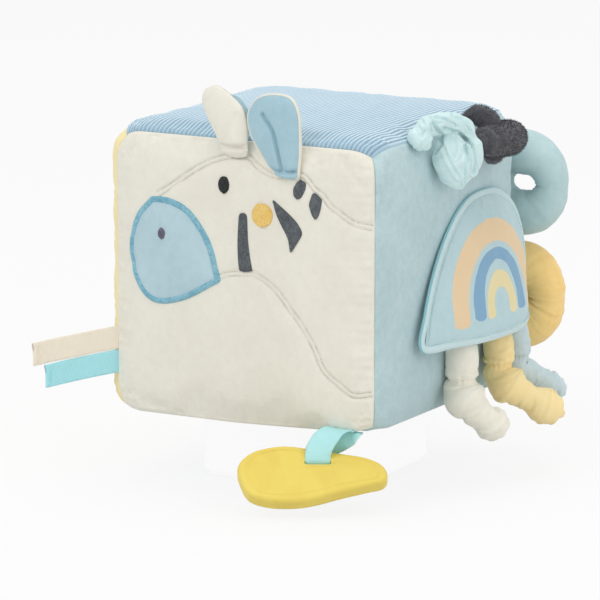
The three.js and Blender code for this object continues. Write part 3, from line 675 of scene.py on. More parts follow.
class SharedEffects:
    """The shader node groups that several finishes place with their own values."""

    def __init__(self) -> None:
        """Builds each group once."""
        self.pile, self.weave, self.rainbow = self._pile(), self._weave(), self._rainbow()

    @staticmethod
    def _pile() -> bpy.types.NodeTree:
        """Builds the short pile of velour.

        Returns:
            A group of its mottling, its specks and its fibres' height.
        """
        scales = {"Fibre Scale": 1500.0, "Stroke Scale": 260.0, "Shade Scale": 34.0}
        bench, given, out = new_group("velour_pile", scales, ("Shade", "Speck", "Height"))
        place = bench.object_place()
        shade = bench.noise(place, given.outputs["Shade Scale"], 3.0).outputs["Fac"]
        stretched = bench.vector("MULTIPLY", place, (1.0, 1.0, 0.8)).outputs[0]
        stroke = bench.noise(stretched, given.outputs["Stroke Scale"], 4.0, 0.6).outputs["Fac"]
        fibre = bench.noise(place, given.outputs["Fibre Scale"], 2.0).outputs["Fac"]
        mixed = bench.math("MULTIPLY_ADD", stroke, 0.45, bench.math("MULTIPLY", shade, 0.55))
        height = bench.math("MULTIPLY_ADD", stroke, 0.45, bench.math("MULTIPLY", fibre, 0.55))
        speck = bench.ramp(fibre, 0.35, 0.7)
        bench.fill(out, {"Shade": bench.ramp(mixed, 0.3, 0.7), "Speck": speck, "Height": height})
        return bench.tree

    @staticmethod
    def _weave() -> bpy.types.NodeTree:
        """Builds ribs across a ribbon and threads along it, on the cloth's own UV map.

        Returns:
            A group of the grooves' mask and the weave's height.
        """
        pitches = {"Rib Pitch": 0.9 * MM, "Thread Pitch": 0.35 * MM}
        bench, given, out = new_group("ribbon_weave", pitches, ("Groove", "Height"))
        parts = bench.node("ShaderNodeSeparateXYZ", {0: bench.cloth_place()})
        waves = []
        for axis, pitch in (("Y", "Rib Pitch"), ("X", "Thread Pitch")):
            turns = bench.math("DIVIDE", parts.outputs[axis], given.outputs[pitch])
            angle = bench.math("MULTIPLY", turns, math.tau)
            waves.append(bench.math("MULTIPLY_ADD", bench.math("SINE", angle), 0.5, 0.5))
        height = bench.math("MULTIPLY_ADD", waves[0], 0.75, bench.math("MULTIPLY", waves[1], 0.25))
        bench.fill(out, {"Groove": bench.ramp(waves[0], 0.45, 0.0), "Height": height})
        return bench.tree

    @staticmethod
    def _rainbow() -> bpy.types.NodeTree:
        """Builds a three-band rainbow on a UV map of cloth width and height in metres.

        Returns:
            A group of one mask for each band.
        """
        # Each band's two edges, half width and top, then the height where its arch begins and its foot
        bands = {
            "Outer": ((40.0, 101.2), (28.8, 90.0), 62.0, 51.6),
            "Middle": ((25.2, 87.0), (16.4, 81.2), 61.0, 53.8),
            "Inner": ((14.6, 76.0), (7.3, 67.6), 59.0, 53.5),
        }
        lean_share, lean_at, aside, soft = 0.045, 54, 2.0, 0.15
        bench, given, out = new_group("rainbow_print", {"Edge Wobble": 0.5 * MM}, tuple(bands))
        cloth = bench.cloth_place()
        rough = bench.noise(cloth, 260.0, 3.0).outputs["Color"]
        moved = bench.vector("SCALE", bench.vector("SUBTRACT", rough, (0.5, 0.5, 0.5)).outputs[0])
        bench.fill(moved, {"Scale": given.outputs["Edge Wobble"]})
        place = bench.node("ShaderNodeSeparateXYZ", {0: bench.vector("ADD", cloth, moved.outputs[0]).outputs[0]})
        height = place.outputs["Y"]
        lean = bench.math("MULTIPLY_ADD", height, lean_share, (aside - lean_share * lean_at) * MM)
        side = bench.math("ABSOLUTE", bench.math("ADD", place.outputs["X"], lean))
        for label, (outer, inner, spring, foot) in bands.items():
            above = bench.math("MAXIMUM", bench.math("SUBTRACT", height, spring * MM), 0.0)
            inside = []
            for half, top in (outer, inner):
                tall = bench.math("MULTIPLY", above, half / (top - spring))
                squares = bench.math("ADD", bench.math("POWER", side, 2.0), bench.math("POWER", tall, 2.0))
                inside.append(bench.ramp(bench.math("SQRT", squares), (half + soft) * MM, (half - soft) * MM))
            away = bench.math("ABSOLUTE", bench.math("SUBTRACT", side, (outer[0] + inner[0]) / 2 * MM))
            share = bench.math("MINIMUM", bench.math("DIVIDE", away, (outer[0] - inner[0]) / 2 * MM), 1.0)
            round_off = bench.math("MULTIPLY", bench.math("POWER", share, 3.0), 1.6 * MM)
            over_foot = bench.math("SUBTRACT", height, bench.math("ADD", round_off, foot * MM))
            band = bench.math("MULTIPLY", inside[0], bench.math("SUBTRACT", 1.0, inside[1]))
            bench.fill(out, {label: bench.math("MULTIPLY", band, bench.ramp(over_foot, -soft * MM, soft * MM))})
        return bench.tree


EFFECTS = SharedEffects()


def blank(owner: Material | bpy.types.World) -> NodeBench:
    """Empties the node tree of a material or a world.

    Args:
        owner: The material or the world.

    Returns:
        The tree's bench.
    """
    owner.use_nodes = True
    owner.node_tree.nodes.clear()
    return NodeBench(owner.node_tree)


@dataclass(frozen=True)
class Finish:
    """A finish of two tones on a Principled shader."""

    name: str
    colour: str
    shade: str

    def looks(self, bench: NodeBench) -> dict[str, object]:
        """Gives the shader's inputs, each a constant or a socket that varies over the surface."""
        raise NotImplementedError(self.name)

    def build(self) -> Material:
        """Makes the material.

        Returns:
            The material.
        """
        material = bpy.data.materials.new(self.name)
        bench = blank(material)
        shader = bench.node("ShaderNodeBsdfPrincipled", self.looks(bench))
        bench.node("ShaderNodeOutputMaterial", {"Surface": shader.outputs[0]})
        return material


@dataclass(frozen=True)
class Velour(Finish):
    """Short-pile velour, such as the cube's panels and the stuffed toys on it."""

    sheen: float = 0.28
    shade_amount: float = 0.55
    speck_amount: float = 0.12
    bump: float = 0.5
    stroke_scale: float = 260.0

    def tone(self, bench: NodeBench, pile: Node) -> Socket:
        """Mixes the mottled colour of the pile.

        Args:
            bench: The material's bench.
            pile: The pile effect.

        Returns:
            The colour.
        """
        share = bench.math("MULTIPLY", pile.outputs["Shade"], self.shade_amount)
        base = bench.blend(share, self.colour, self.shade)
        return bench.blend(bench.math("MULTIPLY", pile.outputs["Speck"], self.speck_amount), base, self.shade)

    def looks(self, bench: NodeBench) -> dict[str, object]:
        """Gives a mottled, napped surface.

        Args:
            bench: The material's bench.

        Returns:
            The shader's inputs.
        """
        pile = bench.group(EFFECTS.pile, {"Stroke Scale": self.stroke_scale})
        return {
            "Base Color": self.tone(bench, pile),
            "Normal": bench.bump(pile.outputs["Height"], self.bump, 0.35 * MM),
            "Roughness": bench.math("MULTIPLY_ADD", pile.outputs["Shade"], 0.08, 0.88),
            "Sheen Weight": self.sheen,
            "Sheen Roughness": 0.45,
            "Specular IOR Level": 0.2,
        }


@dataclass(frozen=True)
class Corduroy(Velour):
    """Ribbed velour: painted shade in the grooves between the ribs that its mesh carries, and ribs painted darker
    face-on than at grazing angles, as painted sheen.
    """

    # The first colour is painted shade for the grooves; the second is painted shade for ribs seen face-on.
    groove: str = "8FAEC2"
    painted_face_on_shade: str = "A9C4D3"
    pitch: float = RIB_PITCH

    def tone(self, bench: NodeBench, pile: Node) -> Socket:
        """Paints shade into the grooves of the mottled pile, and paints the ribs darker where they are seen face-on,
        such as from above, than at grazing angles: painted sheen.

        Args:
            bench: The material's bench.
            pile: The pile effect.

        Returns:
            The colour.
        """
        across = bench.node("ShaderNodeAttribute", attribute_name="rib_at").outputs["Fac"]
        turn = bench.math("FRACT", bench.math("DIVIDE", across, self.pitch))
        depth = bench.ramp(bench.math("ABSOLUTE", bench.math("SUBTRACT", turn, 0.5)), 0.16, 0.44)
        # Painted shade in the grooves between the ribs.
        ribbed = bench.blend(depth, super().tone(bench, pile), self.groove)
        # Painted sheen: ribs seen face-on are painted darker, while ribs at grazing angles keep the paler pile.
        painted_sheen_facing = bench.node("ShaderNodeLayerWeight", {"Blend": 0.5}).outputs["Facing"]
        return bench.blend(bench.ramp(painted_sheen_facing, 0.72, 0.4), ribbed, bench.blend(depth, self.painted_face_on_shade, self.groove))


@dataclass(frozen=True)
class Printed(Velour):
    """Velour with the printed rainbow of the flap."""

    bands: tuple = (("Outer", "ECCFA6"), ("Middle", "82AAC8"), ("Inner", "EBDCA8"))
    wear: float = 0.12

    def tone(self, bench: NodeBench, pile: Node) -> Socket:
        """Lays the three bands over the mottled pile.

        Args:
            bench: The material's bench.
            pile: The pile effect.

        Returns:
            The colour.
        """
        made = super().tone(bench, pile)
        rainbow = bench.group(EFFECTS.rainbow)
        worn = bench.math("MULTIPLY_ADD", pile.outputs["Speck"], -self.wear, 1.0)
        for label, colour in self.bands:
            made = bench.blend(bench.math("MULTIPLY", rainbow.outputs[label], worn), made, colour)
        return made


@dataclass(frozen=True)
class Ribbon(Finish):
    """Grosgrain or satin ribbon, ribbed across its length."""

    rib_pitch: float = 0.9 * MM
    roughness: float = 0.5

    def tone(self, bench: NodeBench, share: Socket) -> Socket:
        """Mixes the ribbon's two tones."""
        return bench.blend(share, self.colour, self.shade)

    def looks(self, bench: NodeBench) -> dict[str, object]:
        """Gives a woven surface, with painted shade in its grooves.

        Args:
            bench: The material's bench.

        Returns:
            The shader's inputs.
        """
        weave = bench.group(EFFECTS.weave, {"Rib Pitch": self.rib_pitch}).outputs
        pile = bench.group(EFFECTS.pile).outputs
        # The rib grooves get painted shade, laid over the pile's random mottling.
        shaded = bench.math("MULTIPLY_ADD", pile["Shade"], 0.2, bench.math("MULTIPLY", weave["Groove"], 0.3))
        return {
            "Base Color": self.tone(bench, shaded),
            "Normal": bench.bump(weave["Height"], 0.5, 0.15 * MM),
            "Roughness": bench.math("MULTIPLY_ADD", weave["Groove"], 0.2, self.roughness),
            "Sheen Weight": 0.15,
            "Specular IOR Level": 0.35,
        }


@dataclass(frozen=True)
class Binding(Ribbon):
    """Satin binding whose turned-under side shows the backing's colour."""

    under: str = "84C6D0"
    fold_start: float = 9.9 * MM
    fold_end: float = 1.0 * MM
    fold_soft: float = 0.3 * MM

    def tone(self, bench: NodeBench, share: Socket) -> Socket:
        """Colours the part of the tape that turns under, by the distance round it.

        Args:
            bench: The material's bench.
            share: The share of the darker tone.

        Returns:
            The colour.
        """
        around = bench.node("ShaderNodeSeparateXYZ", {0: bench.cloth_place()}).outputs["X"]
        late = bench.ramp(around, self.fold_start - self.fold_soft, self.fold_start + self.fold_soft)
        early = bench.ramp(around, self.fold_end + self.fold_soft, self.fold_end - self.fold_soft)
        return bench.blend(bench.math("MAXIMUM", late, early), super().tone(bench, share), self.under)


@dataclass(frozen=True)
class Thread(Finish):
    """Embroidery or sewing thread, twisted and a little glossy."""

    roughness: float = 0.45

    def looks(self, bench: NodeBench) -> dict[str, object]:
        """Gives a twisted, two-tone surface.

        Args:
            bench: The material's bench.

        Returns:
            The shader's inputs.
        """
        place = bench.object_place()
        strand = bench.noise(place, 900.0, 2.0).outputs["Fac"]
        broad = bench.noise(place, 130.0, 2.0).outputs["Fac"]
        mixed = bench.math("MULTIPLY_ADD", strand, 0.6, bench.math("MULTIPLY", broad, 0.4))
        share = bench.ramp(mixed, 0.36, 0.66)
        return {
            "Base Color": bench.blend(share, self.colour, self.shade),
            "Normal": bench.bump(strand, 0.35, 0.1 * MM),
            "Roughness": bench.math("MULTIPLY_ADD", share, 0.2, self.roughness),
            "Sheen Weight": 0.1,
            "Specular IOR Level": 0.45,
        }


@dataclass(frozen=True)
class Moulded(Finish):
    """Moulded silicone or plastic, with flow mottling and fine handling marks."""

    roughness: float = 0.42
    bump: float = 0.12
    subsurface: float = 0.0

    def looks(self, bench: NodeBench) -> dict[str, object]:
        """Gives a smooth surface with faint flow marks.

        Args:
            bench: The material's bench.

        Returns:
            The shader's inputs.
        """
        place = bench.object_place()
        flow = bench.noise(place, 45.0, 3.0, 0.8).outputs["Fac"]
        marks = bench.noise(place, 1400.0, 3.0).outputs["Fac"]
        return {
            "Base Color": bench.blend(bench.ramp(flow, 0.35, 0.7), self.colour, self.shade),
            "Normal": bench.bump(marks, self.bump, 0.1 * MM),
            "Roughness": bench.math("MULTIPLY_ADD", marks, 0.16, self.roughness - 0.08),
            "Specular IOR Level": 0.4,
            "Subsurface Weight": self.subsurface,
            "Subsurface Radius": (0.004, 0.003, 0.0015),
        }


class Finishes:
    """Every finish of the block, built once."""

    def __init__(self) -> None:
        """Builds the materials."""
        self.cream = Velour("cream_velour", "EDEADE", "E1DDCF").build()
        self.blue = Velour("blue_velour", "C4DADD", "A4BFC4", speck_amount=0.28).build()
        self.soft_blue = Velour("muzzle_velour", "BCD5DD", "A5C1CC").build()
        self.lining = Velour("ear_lining_velour", "AECDD8", "96BAC7").build()
        self.corduroy = Corduroy("blue_corduroy", "D3E7F1", "C2DAE8", bump=0.35).build()
        self.yellow = Velour("yellow_velour", "F8EBBC", "F1DFA2").build()
        self.ring_yellow = Velour("ring_yellow_velour", "FFDF98", "F9CC7A").build()
        self.mint = Velour("mint_velour", "C2DADB", "ABC8CA").build()
        # The toggle's mint is a lighter copy of the ring's mint velour: painted light that offsets the shade in its
        # creases.
        self.knot_mint = Velour("knot_mint_velour", "D8EEEE", "C3E0E1").build()
        self.charcoal = Velour("charcoal_velour", "606065", "434247", 0.6, speck_amount=0.5, bump=0.9).build()
        # The cream and yellow tails' velours are lightened: painted light that offsets the shade of the flap over them;
        # the yellow's warmer hue is its own.
        self.tail_cream = Velour("tail_cream_velour", "F8F4E6", "EBE6D6").build()
        self.tail_yellow = Velour("tail_yellow_velour", "FFEBB2", "FFDF9A").build()
        self.tail_blue = Velour("tail_blue_velour", "D2E2E6", "BCD1D8").build()
        self.flap_print = Printed("flap_velour", "C1D9DC", "AFCBD0").build()
        self.binding = Binding("satin_binding", "CFE3E5", "B2D0D3", 0.5 * MM, 0.4).build()
        self.backing = Velour("flap_backing_velour", "A5D2D8", "8CC0C8").build()
        self.film = Moulded("crinkle_film", "E8EEF0", "D4DEE2", 0.25, 0.5).build()
        self.muzzle_thread = Thread("muzzle_satin_thread", "97C8D6", "70ABBF").build()
        self.grey_thread = Thread("stripe_thread", "666C70", "4C5256", 0.6).build()
        self.eye_thread = Thread("eye_thread", "2A2C2E", "17181A", 0.55).build()
        self.nostril_thread = Thread("nostril_thread", "767283", "565365", 0.55).build()
        self.yellow_thread = Thread("cheek_thread", "F3D583", "E6BE66").build()
        self.cream_thread = Thread("sewing_thread", "E9E6DB", "CFCABB", 0.6).build()
        self.aqua_thread = Thread("flap_thread", "C4DEDF", "9CC2C4", 0.5).build()
        self.beige_ribbon = Ribbon("beige_ribbon", "F4EBD9", "E2D7C1", roughness=0.6).build()
        self.aqua_ribbon = Ribbon("aqua_ribbon", "AEE9EF", "8ACFD9").build()
        self.loop_ribbon = Ribbon("loop_ribbon", "BCEFF0", "9ADDE0", roughness=0.45).build()
        self.silicone = Moulded("yellow_silicone", "EFD868", "EAD061", 0.5, subsurface=0.1).build()
        self.filling = Velour("fibre_filling", "F6F5F1", "E6E4DC", bump=1.0, stroke_scale=60.0).build()
        self.white_plastic = Moulded("white_plastic", "F2F2EE", "E2E1DA").build()
        self.red_plastic = Moulded("bead_plastic", "D98A6A", "C27250").build()


# Geometry Nodes tools


class TreeMaker:
    """A Geometry Nodes tree that ends in Realize Instances and Set Material."""

    def __init__(self, name: str, inputs: dict[str, float]) -> None:
        """Starts the tree.

        Args:
            name: The tree's name.
            inputs: Input names and their usual values, each a float or an int.
        """
        self.tree = bpy.data.node_groups.new(name, "GeometryNodeTree")
        sockets = self.tree.interface
        for way in ("INPUT", "OUTPUT"):
            sockets.new_socket("Geometry", in_out=way, socket_type="NodeSocketGeometry")
        for label, value in inputs.items():
            kind = "NodeSocketInt" if isinstance(value, int) else "NodeSocketFloat"
            sockets.new_socket(label, in_out="INPUT", socket_type=kind).default_value = value
        sockets.new_socket("Finish", in_out="INPUT", socket_type="NodeSocketMaterial")
        self.bench = NodeBench(self.tree)
        self.given = self.bench.node("NodeGroupInput").outputs

    def carried(self, label: str, kind: str) -> Socket:
        """Reads an attribute that the mesh carries."""
        return self.bench.node("GeometryNodeInputNamedAttribute", {"Name": label}, data_type=kind).outputs[0]

    def strew(self, points: Socket, instance: Socket, turn: Socket, scale: Socket) -> Socket:
        """Puts an instance on each point."""
        inputs = {"Points": points, "Instance": instance, "Rotation": turn, "Scale": scale}
        return self.bench.node("GeometryNodeInstanceOnPoints", inputs).outputs[0]

    def end(self, shape: Socket, smooth: bool = False) -> None:
        """Ends the tree.

        Args:
            shape: The geometry.
            smooth: Whether its faces are shaded smooth.
        """
        shape = self.bench.node("GeometryNodeRealizeInstances", {0: shape}).outputs[0]
        if smooth:
            shape = self.bench.node("GeometryNodeSetShadeSmooth", {0: shape}).outputs[0]
        done = self.bench.node("GeometryNodeSetMaterial", {"Geometry": shape, "Material": self.given["Finish"]})
        self.bench.node("NodeGroupOutput", {0: done.outputs[0]})

    def applied(self, source: Piece, name: str, finish: Material, sizes: dict[str, float]) -> Piece:
        """Replaces an object by what the tree makes of it.

        Args:
            source: The object.
            name: The new piece's name.
            finish: Its material.
            sizes: Values of the tree's inputs, by their names.

        Returns:
            The new piece.
        """
        modifier = source.modifiers.new("tree", "NODES")
        modifier.node_group = self.tree
        values = {"Finish": finish, **sizes}
        for item in self.tree.interface.items_tree:
            if getattr(item, "in_out", "") == "INPUT" and item.name in values:
                modifier[item.identifier] = values[item.name]
        source.name = name + "_source"
        return baked(name, source, finish)


class StitchMaker(TreeMaker):
    """Sews threads: each one arches over the cloth between two ends."""

    def __init__(self) -> None:
        """Builds the tree that puts a thread on each point."""
        super().__init__("sewn_threads", {"Thread Radius": 0.24 * MM, "Arch": 0.3 * MM, "Steps": 6})
        bench, given = self.bench, self.given
        line = bench.node("GeometryNodeCurvePrimitiveLine", {"Start": (-0.5, 0.0, 0.0), "End": (0.5, 0.0, 0.0)})
        spaced = bench.node("GeometryNodeResampleCurve", {"Curve": line.outputs[0], "Count": given["Steps"]})
        place = bench.node("ShaderNodeSeparateXYZ", {0: bench.node("GeometryNodeInputPosition").outputs[0]})
        squared = bench.math("POWER", bench.math("MULTIPLY", place.outputs["X"], 2.0), 2.0)
        high = bench.math("ADD", bench.math("MULTIPLY", squared, -1.0), 1.0)
        lift = bench.node("ShaderNodeCombineXYZ", {"Z": bench.math("MULTIPLY", high, given["Arch"])})
        arched = bench.node("GeometryNodeSetPosition", {"Geometry": spaced.outputs[0], "Offset": lift.outputs[0]})
        ring = bench.node("GeometryNodeCurvePrimitiveCircle", {"Resolution": 5, "Radius": given["Thread Radius"]})
        ends = {"Curve": arched.outputs[0], "Profile Curve": ring.outputs[0], "Fill Caps": True}
        thread = bench.node("GeometryNodeCurveToMesh", ends)
        span, upright = self.carried("span", "FLOAT_VECTOR"), self.carried("lift", "FLOAT_VECTOR")
        along = bench.node("FunctionNodeAlignRotationToVector", {"Vector": span}, axis="X")
        turned = {"Rotation": along.outputs[0], "Vector": upright}
        turn = bench.node("FunctionNodeAlignRotationToVector", turned, axis="Z", pivot_axis="X")
        length = bench.vector("LENGTH", span).outputs["Value"]
        scale = bench.node("ShaderNodeCombineXYZ", {"X": length, "Y": 1.0, "Z": 1.0})
        self.end(self.strew(given["Geometry"], thread.outputs[0], turn.outputs[0], scale.outputs[0]), smooth=True)

    def sew(self, name: str, starts: Points, ends: Points, lifts: Points, finish: Material, **sizes: float) -> Piece:
        """Sews one thread from each start to each end.

        Args:
            name: The piece's name.
            starts: Where the threads go into the cloth.
            ends: Where they come out.
            lifts: The cloth's normal at each thread.
            finish: The thread's material.
            sizes: Thread Radius and Arch, with _ for the space.

        Returns:
            The threads as one mesh.
        """
        mesh = bpy.data.meshes.new(name)
        mesh.from_pydata(((starts + ends) / 2).tolist(), [], [])
        for label, values in (("span", ends - starts), ("lift", lifts)):
            layer = mesh.attributes.new(label, "FLOAT_VECTOR", "POINT")
            layer.data.foreach_set("vector", np.asarray(values, np.float32).ravel())
        named = {key.replace("_", " "): value for key, value in sizes.items()}
        made = self.applied(linked(name, mesh), name, finish, named)
        for spare in ("span", "lift"):
            if spare in made.data.attributes:
                made.data.attributes.remove(made.data.attributes[spare])
        return made

    def run(
        self, name: str, path: Points, lifts: Points, pitch: float, share: float, finish: Material, **sizes: float
    ) -> Piece:
        """Sews a running stitch along a path.

        Args:
            name: The piece's name.
            path: The stitch line, on the cloth.
            lifts: The cloth's normal along it.
            pitch: The distance from stitch to stitch.
            share: The share of the pitch that shows thread.
            finish: The thread's material.
            sizes: As for sew.

        Returns:
            The stitches as one mesh.
        """
        count = max(int(path_length(path) / pitch), 2)
        both = evenly(np.hstack([path, lifts]), 2 * count + 1)
        spots = both[1::2]
        reach = (both[2::2, :3] - both[:-1:2, :3]) * share / 2
        return self.sew(name, spots[:, :3] - reach, spots[:, :3] + reach, unit(spots[:, 3:]), finish, **sizes)


class RibMaker(TreeMaker):
    """Raises ribs on a surface, by its rib_at attribute: the distance across the ribs."""

    def __init__(self) -> None:
        """Builds the tree that lifts the surface along its normal."""
        super().__init__("raised_ribs", {"Pitch": RIB_PITCH, "Height": 0.7 * MM})
        bench, given = self.bench, self.given
        turn = bench.math("FRACT", bench.math("DIVIDE", self.carried("rib_at", "FLOAT"), given["Pitch"]))
        from_middle = bench.math("MULTIPLY", bench.math("SUBTRACT", turn, 0.5), 2.0)
        rounded = bench.math("SUBTRACT", 1.0, bench.math("POWER", from_middle, 2.0))
        profile = bench.math("POWER", bench.math("MAXIMUM", rounded, 0.0), 0.6)
        height = bench.math("MULTIPLY", bench.math("SUBTRACT", profile, 0.5), given["Height"])
        normal = bench.node("GeometryNodeInputNormal").outputs[0]
        lift = bench.fill(bench.vector("SCALE", normal), {"Scale": height})
        moved = {"Geometry": given["Geometry"], "Offset": lift.outputs[0]}
        self.end(bench.node("GeometryNodeSetPosition", moved).outputs[0])

    def ribbed(self, piece: Piece, across: Points, height: float) -> Piece:
        """Replaces a piece by its ribbed form.

        Args:
            piece: The smooth piece.
            across: The distance across the ribs, one for each vertex.
            height: The ribs' height.

        Returns:
            The ribbed piece, with the same name and material.
        """
        layer = piece.data.attributes.new("rib_at", "FLOAT", "POINT")
        layer.data.foreach_set("value", across.astype(np.float32).ravel())
        return self.applied(piece, piece.name, piece.data.materials[0], {"Height": height})


class PileMaker(TreeMaker):
    """Raises a long pile of fine fibres on a piece."""

    def __init__(self) -> None:
        """Builds the tree that scatters leaning fibres over the faces."""
        super().__init__("long_pile", {"Density": 3.4e6, "Length": 0.9 * MM, "Root Radius": 0.11 * MM})
        bench, given = self.bench, self.given
        skin = given["Geometry"]
        spread = {"Mesh": skin, "Density": given["Density"], "Seed": 7}
        roots = bench.node("GeometryNodeDistributePointsOnFaces", spread).outputs
        sizes = {"Vertices": 3, "Radius Top": 0.0, "Radius Bottom": given["Root Radius"], "Depth": given["Length"]}
        fibre = bench.node("GeometryNodeMeshCone", sizes, fill_type="NONE").outputs["Mesh"]
        bounds = {0: (-0.7, -0.7, -0.9), 1: (0.7, 0.7, 0.5), "Seed": 11}
        stray = bench.node("FunctionNodeRandomValue", bounds, data_type="FLOAT_VECTOR").outputs[0]
        heading = bench.vector("ADD", roots["Normal"], stray).outputs[0]
        turned = bench.node("FunctionNodeAlignRotationToVector", {"Vector": heading}, axis="Z").outputs[0]
        size = bench.node("FunctionNodeRandomValue", {2: 0.55, 3: 1.25, "Seed": 13}, data_type="FLOAT").outputs[1]
        both = bench.node("GeometryNodeJoinGeometry")
        for part in (skin, self.strew(roots["Points"], fibre, turned, size)):
            bench.fill(both, {0: part})
        self.end(both.outputs[0])

    def raised(self, piece: Piece, length: float) -> Piece:
        """Replaces a piece by its form with a pile."""
        return self.applied(piece, piece.name, piece.data.materials[0], {"Length": length})


@dataclass
class Workshop:
    """What every sub-assembly needs to make its pieces."""

    finishes: Finishes
    stitches: StitchMaker
    ribs: RibMaker
    pile: PileMaker


# The padded cube


class Side(Enum):
    """The six panels: name, direction to the right, direction up, direction out."""

    FRONT = ("front", (1, 0, 0), (0, 0, 1), (0, -1, 0))
    RIGHT = ("right", (0, 1, 0), (0, 0, 1), (1, 0, 0))
    BACK = ("back", (-1, 0, 0), (0, 0, 1), (0, 1, 0))
    LEFT = ("left", (0, -1, 0), (0, 0, 1), (-1, 0, 0))
    TOP = ("top", (1, 0, 0), (0, 1, 0), (0, 0, 1))
    BASE = ("base", (1, 0, 0), (0, -1, 0), (0, 0, -1))

    @property
    def axes(self) -> list[Points]:
        """Gives the three directions as arrays."""
        return [np.array(direction, float) for direction in self.value[1:]]


@dataclass
class Panel:
    """One sewn panel of the cube: a height over the plane of its seams."""

    side: Side
    half_v: float
    reach: float
    crown: float
    limit: float
    half_u: float = HALF
    shoulder_rise: float = 3.5 * MM
    shoulder_width: float = 12 * MM
    corner_reach: float = 16 * MM
    corner_pull: tuple[float, float] = (2.4 * MM, 3.8 * MM)
    seam_drop: float = 1.7 * MM
    seam_lift: float = 3.3 * MM
    seam_reach: float = 18 * MM
    lift_start: float = -8 * MM
    sole_reach: float = 28 * MM
    knots: Points | None = None
    swell: Points | None = None
    extra: list[Callable[[Points, Points], Points]] = field(default_factory=list)

    def shoulder(self, share: Points, half: float) -> Points:
        """Gives a rounded edge, from 0 to 1, at shares of a width."""
        left = np.clip(1 - np.minimum(share, 1 - share) * 2 * half / self.shoulder_width, 0, 1)
        return np.sqrt(1 - left * left)

    def rise(self, share_u: Points, share_v: Points) -> Points:
        """Gives the CAD source's height over the seams' plane.

        Args:
            share_u: Places to the right, from 0 to 1.
            share_v: Places upwards, from 0 to 1.

        Returns:
            Heights.
        """
        edge = self.shoulder_rise * self.shoulder(share_u, self.half_u) * self.shoulder(share_v, self.half_v)
        crown = self.crown * 16 * share_u * (1 - share_u) * share_v * (1 - share_v)
        return np.minimum(edge + crown, self.limit)

    def out_at(self, share_u: float, share_v: float) -> float:
        """Gives how far out the CAD source's cloth is, at shares of the width and the height."""
        return float(self.reach + self.rise(np.array([share_u]), np.array([share_v]))[0])

    def height(self, u: Points, v: Points) -> Points:
        """Gives the finished height at places on the panel, in metres from its middle.

        Args:
            u: Places to the right.
            v: Places upwards.

        Returns:
            Heights over the seams' plane.
        """
        share_u = np.clip(0.5 + u / (2 * self.half_u), 0, 1)
        share_v = np.clip(0.5 + v / (2 * self.half_v), 0, 1)
        if self.side is Side.BASE:
            away = np.minimum(self.half_u - np.abs(u), self.half_v - np.abs(v))
            total = self.limit * eased(np.clip(away / self.sole_reach, 0, 1))
        else:
            total = self.rise(share_u, share_v)
        if self.swell is not None:
            total = total + self.read_swell(share_u, share_v)
        for adjust in self.extra:
            total = total + adjust(u, v)
        return total

    def read_swell(self, share_u: Points, share_v: Points) -> Points:
        """Reads the simulated swelling between its grid points.

        Args:
            share_u: Places to the right, from 0 to 1.
            share_v: Places upwards, from 0 to 1.

        Returns:
            Heights.
        """
        knots, grid = self.knots, self.swell
        i, j = (np.clip(np.searchsorted(knots, share) - 1, 0, len(knots) - 2) for share in (share_u, share_v))
        a = (share_u - knots[i]) / (knots[i + 1] - knots[i])
        b = (share_v - knots[j]) / (knots[j + 1] - knots[j])
        low = grid[i, j] * (1 - a) + grid[i + 1, j] * a
        high = grid[i, j + 1] * (1 - a) + grid[i + 1, j + 1] * a
        return low * (1 - b) + high * b

    def place(self, u: Points, v: Points, lift: Points | float = 0.0) -> Points:
        """Gives points of the frame at places on the panel.

        Args:
            u: Places to the right.
            v: Places upwards.
            lift: A distance from the cloth, along the panel's normal.

        Returns:
            Points in the frame.
        """
        right, up, out = self.side.axes
        flat = np.array([0, 0, MIDDLE_Z]) + np.multiply.outer(u, right) + np.multiply.outer(v, up)
        made = flat + np.multiply.outer(self.reach + self.height(u, v), out)
        if np.any(lift):
            made = made + self.normal(u, v) * np.asarray(lift)[..., None]
        return self.round_corners(made)

    def round_corners(self, points: Points) -> Points:
        """Draws the cube's corners in and bends its lower seam, as a soft filling leaves them.

        Args:
            points: Points of the frame.

        Returns:
            The moved points.
        """
        away = points - np.array([0.0, 0.0, MIDDLE_Z])
        inside = np.maximum(np.array([HALF, HALF, HALF_TALL]) - np.abs(away), 0)
        near = np.clip(1 - inside / self.corner_reach, 0, 1) ** 2
        pull = np.where(away[..., 2:] > 0, self.corner_pull[1], self.corner_pull[0])
        made = points - np.sign(away) * (pull * near.prod(axis=-1, keepdims=True))
        above = points[..., 2] - SEAM_Z
        low = np.where(above > 0, 1 - above / self.seam_reach, points[..., 2] / SEAM_Z)
        rightwards = np.clip((points[..., 0] - self.lift_start) / (HALF - self.lift_start), 0, 1) ** 1.3
        made[..., 2] += np.clip(low, 0, 1) ** 2 * (self.seam_lift * rightwards - self.seam_drop)
        return made

    def normal(self, u: Points, v: Points) -> Points:
        """Gives the cloth's outward normals at places on the panel.

        Args:
            u: Places to the right.
            v: Places upwards.

        Returns:
            Directions.
        """
        right, up, out = self.side.axes
        step = 0.4 * MM
        slope_u = (self.height(u + step, v) - self.height(u - step, v)) / (2 * step)
        slope_v = (self.height(u, v + step) - self.height(u, v - step)) / (2 * step)
        return unit(out - np.multiply.outer(slope_u, right) - np.multiply.outer(slope_v, up))


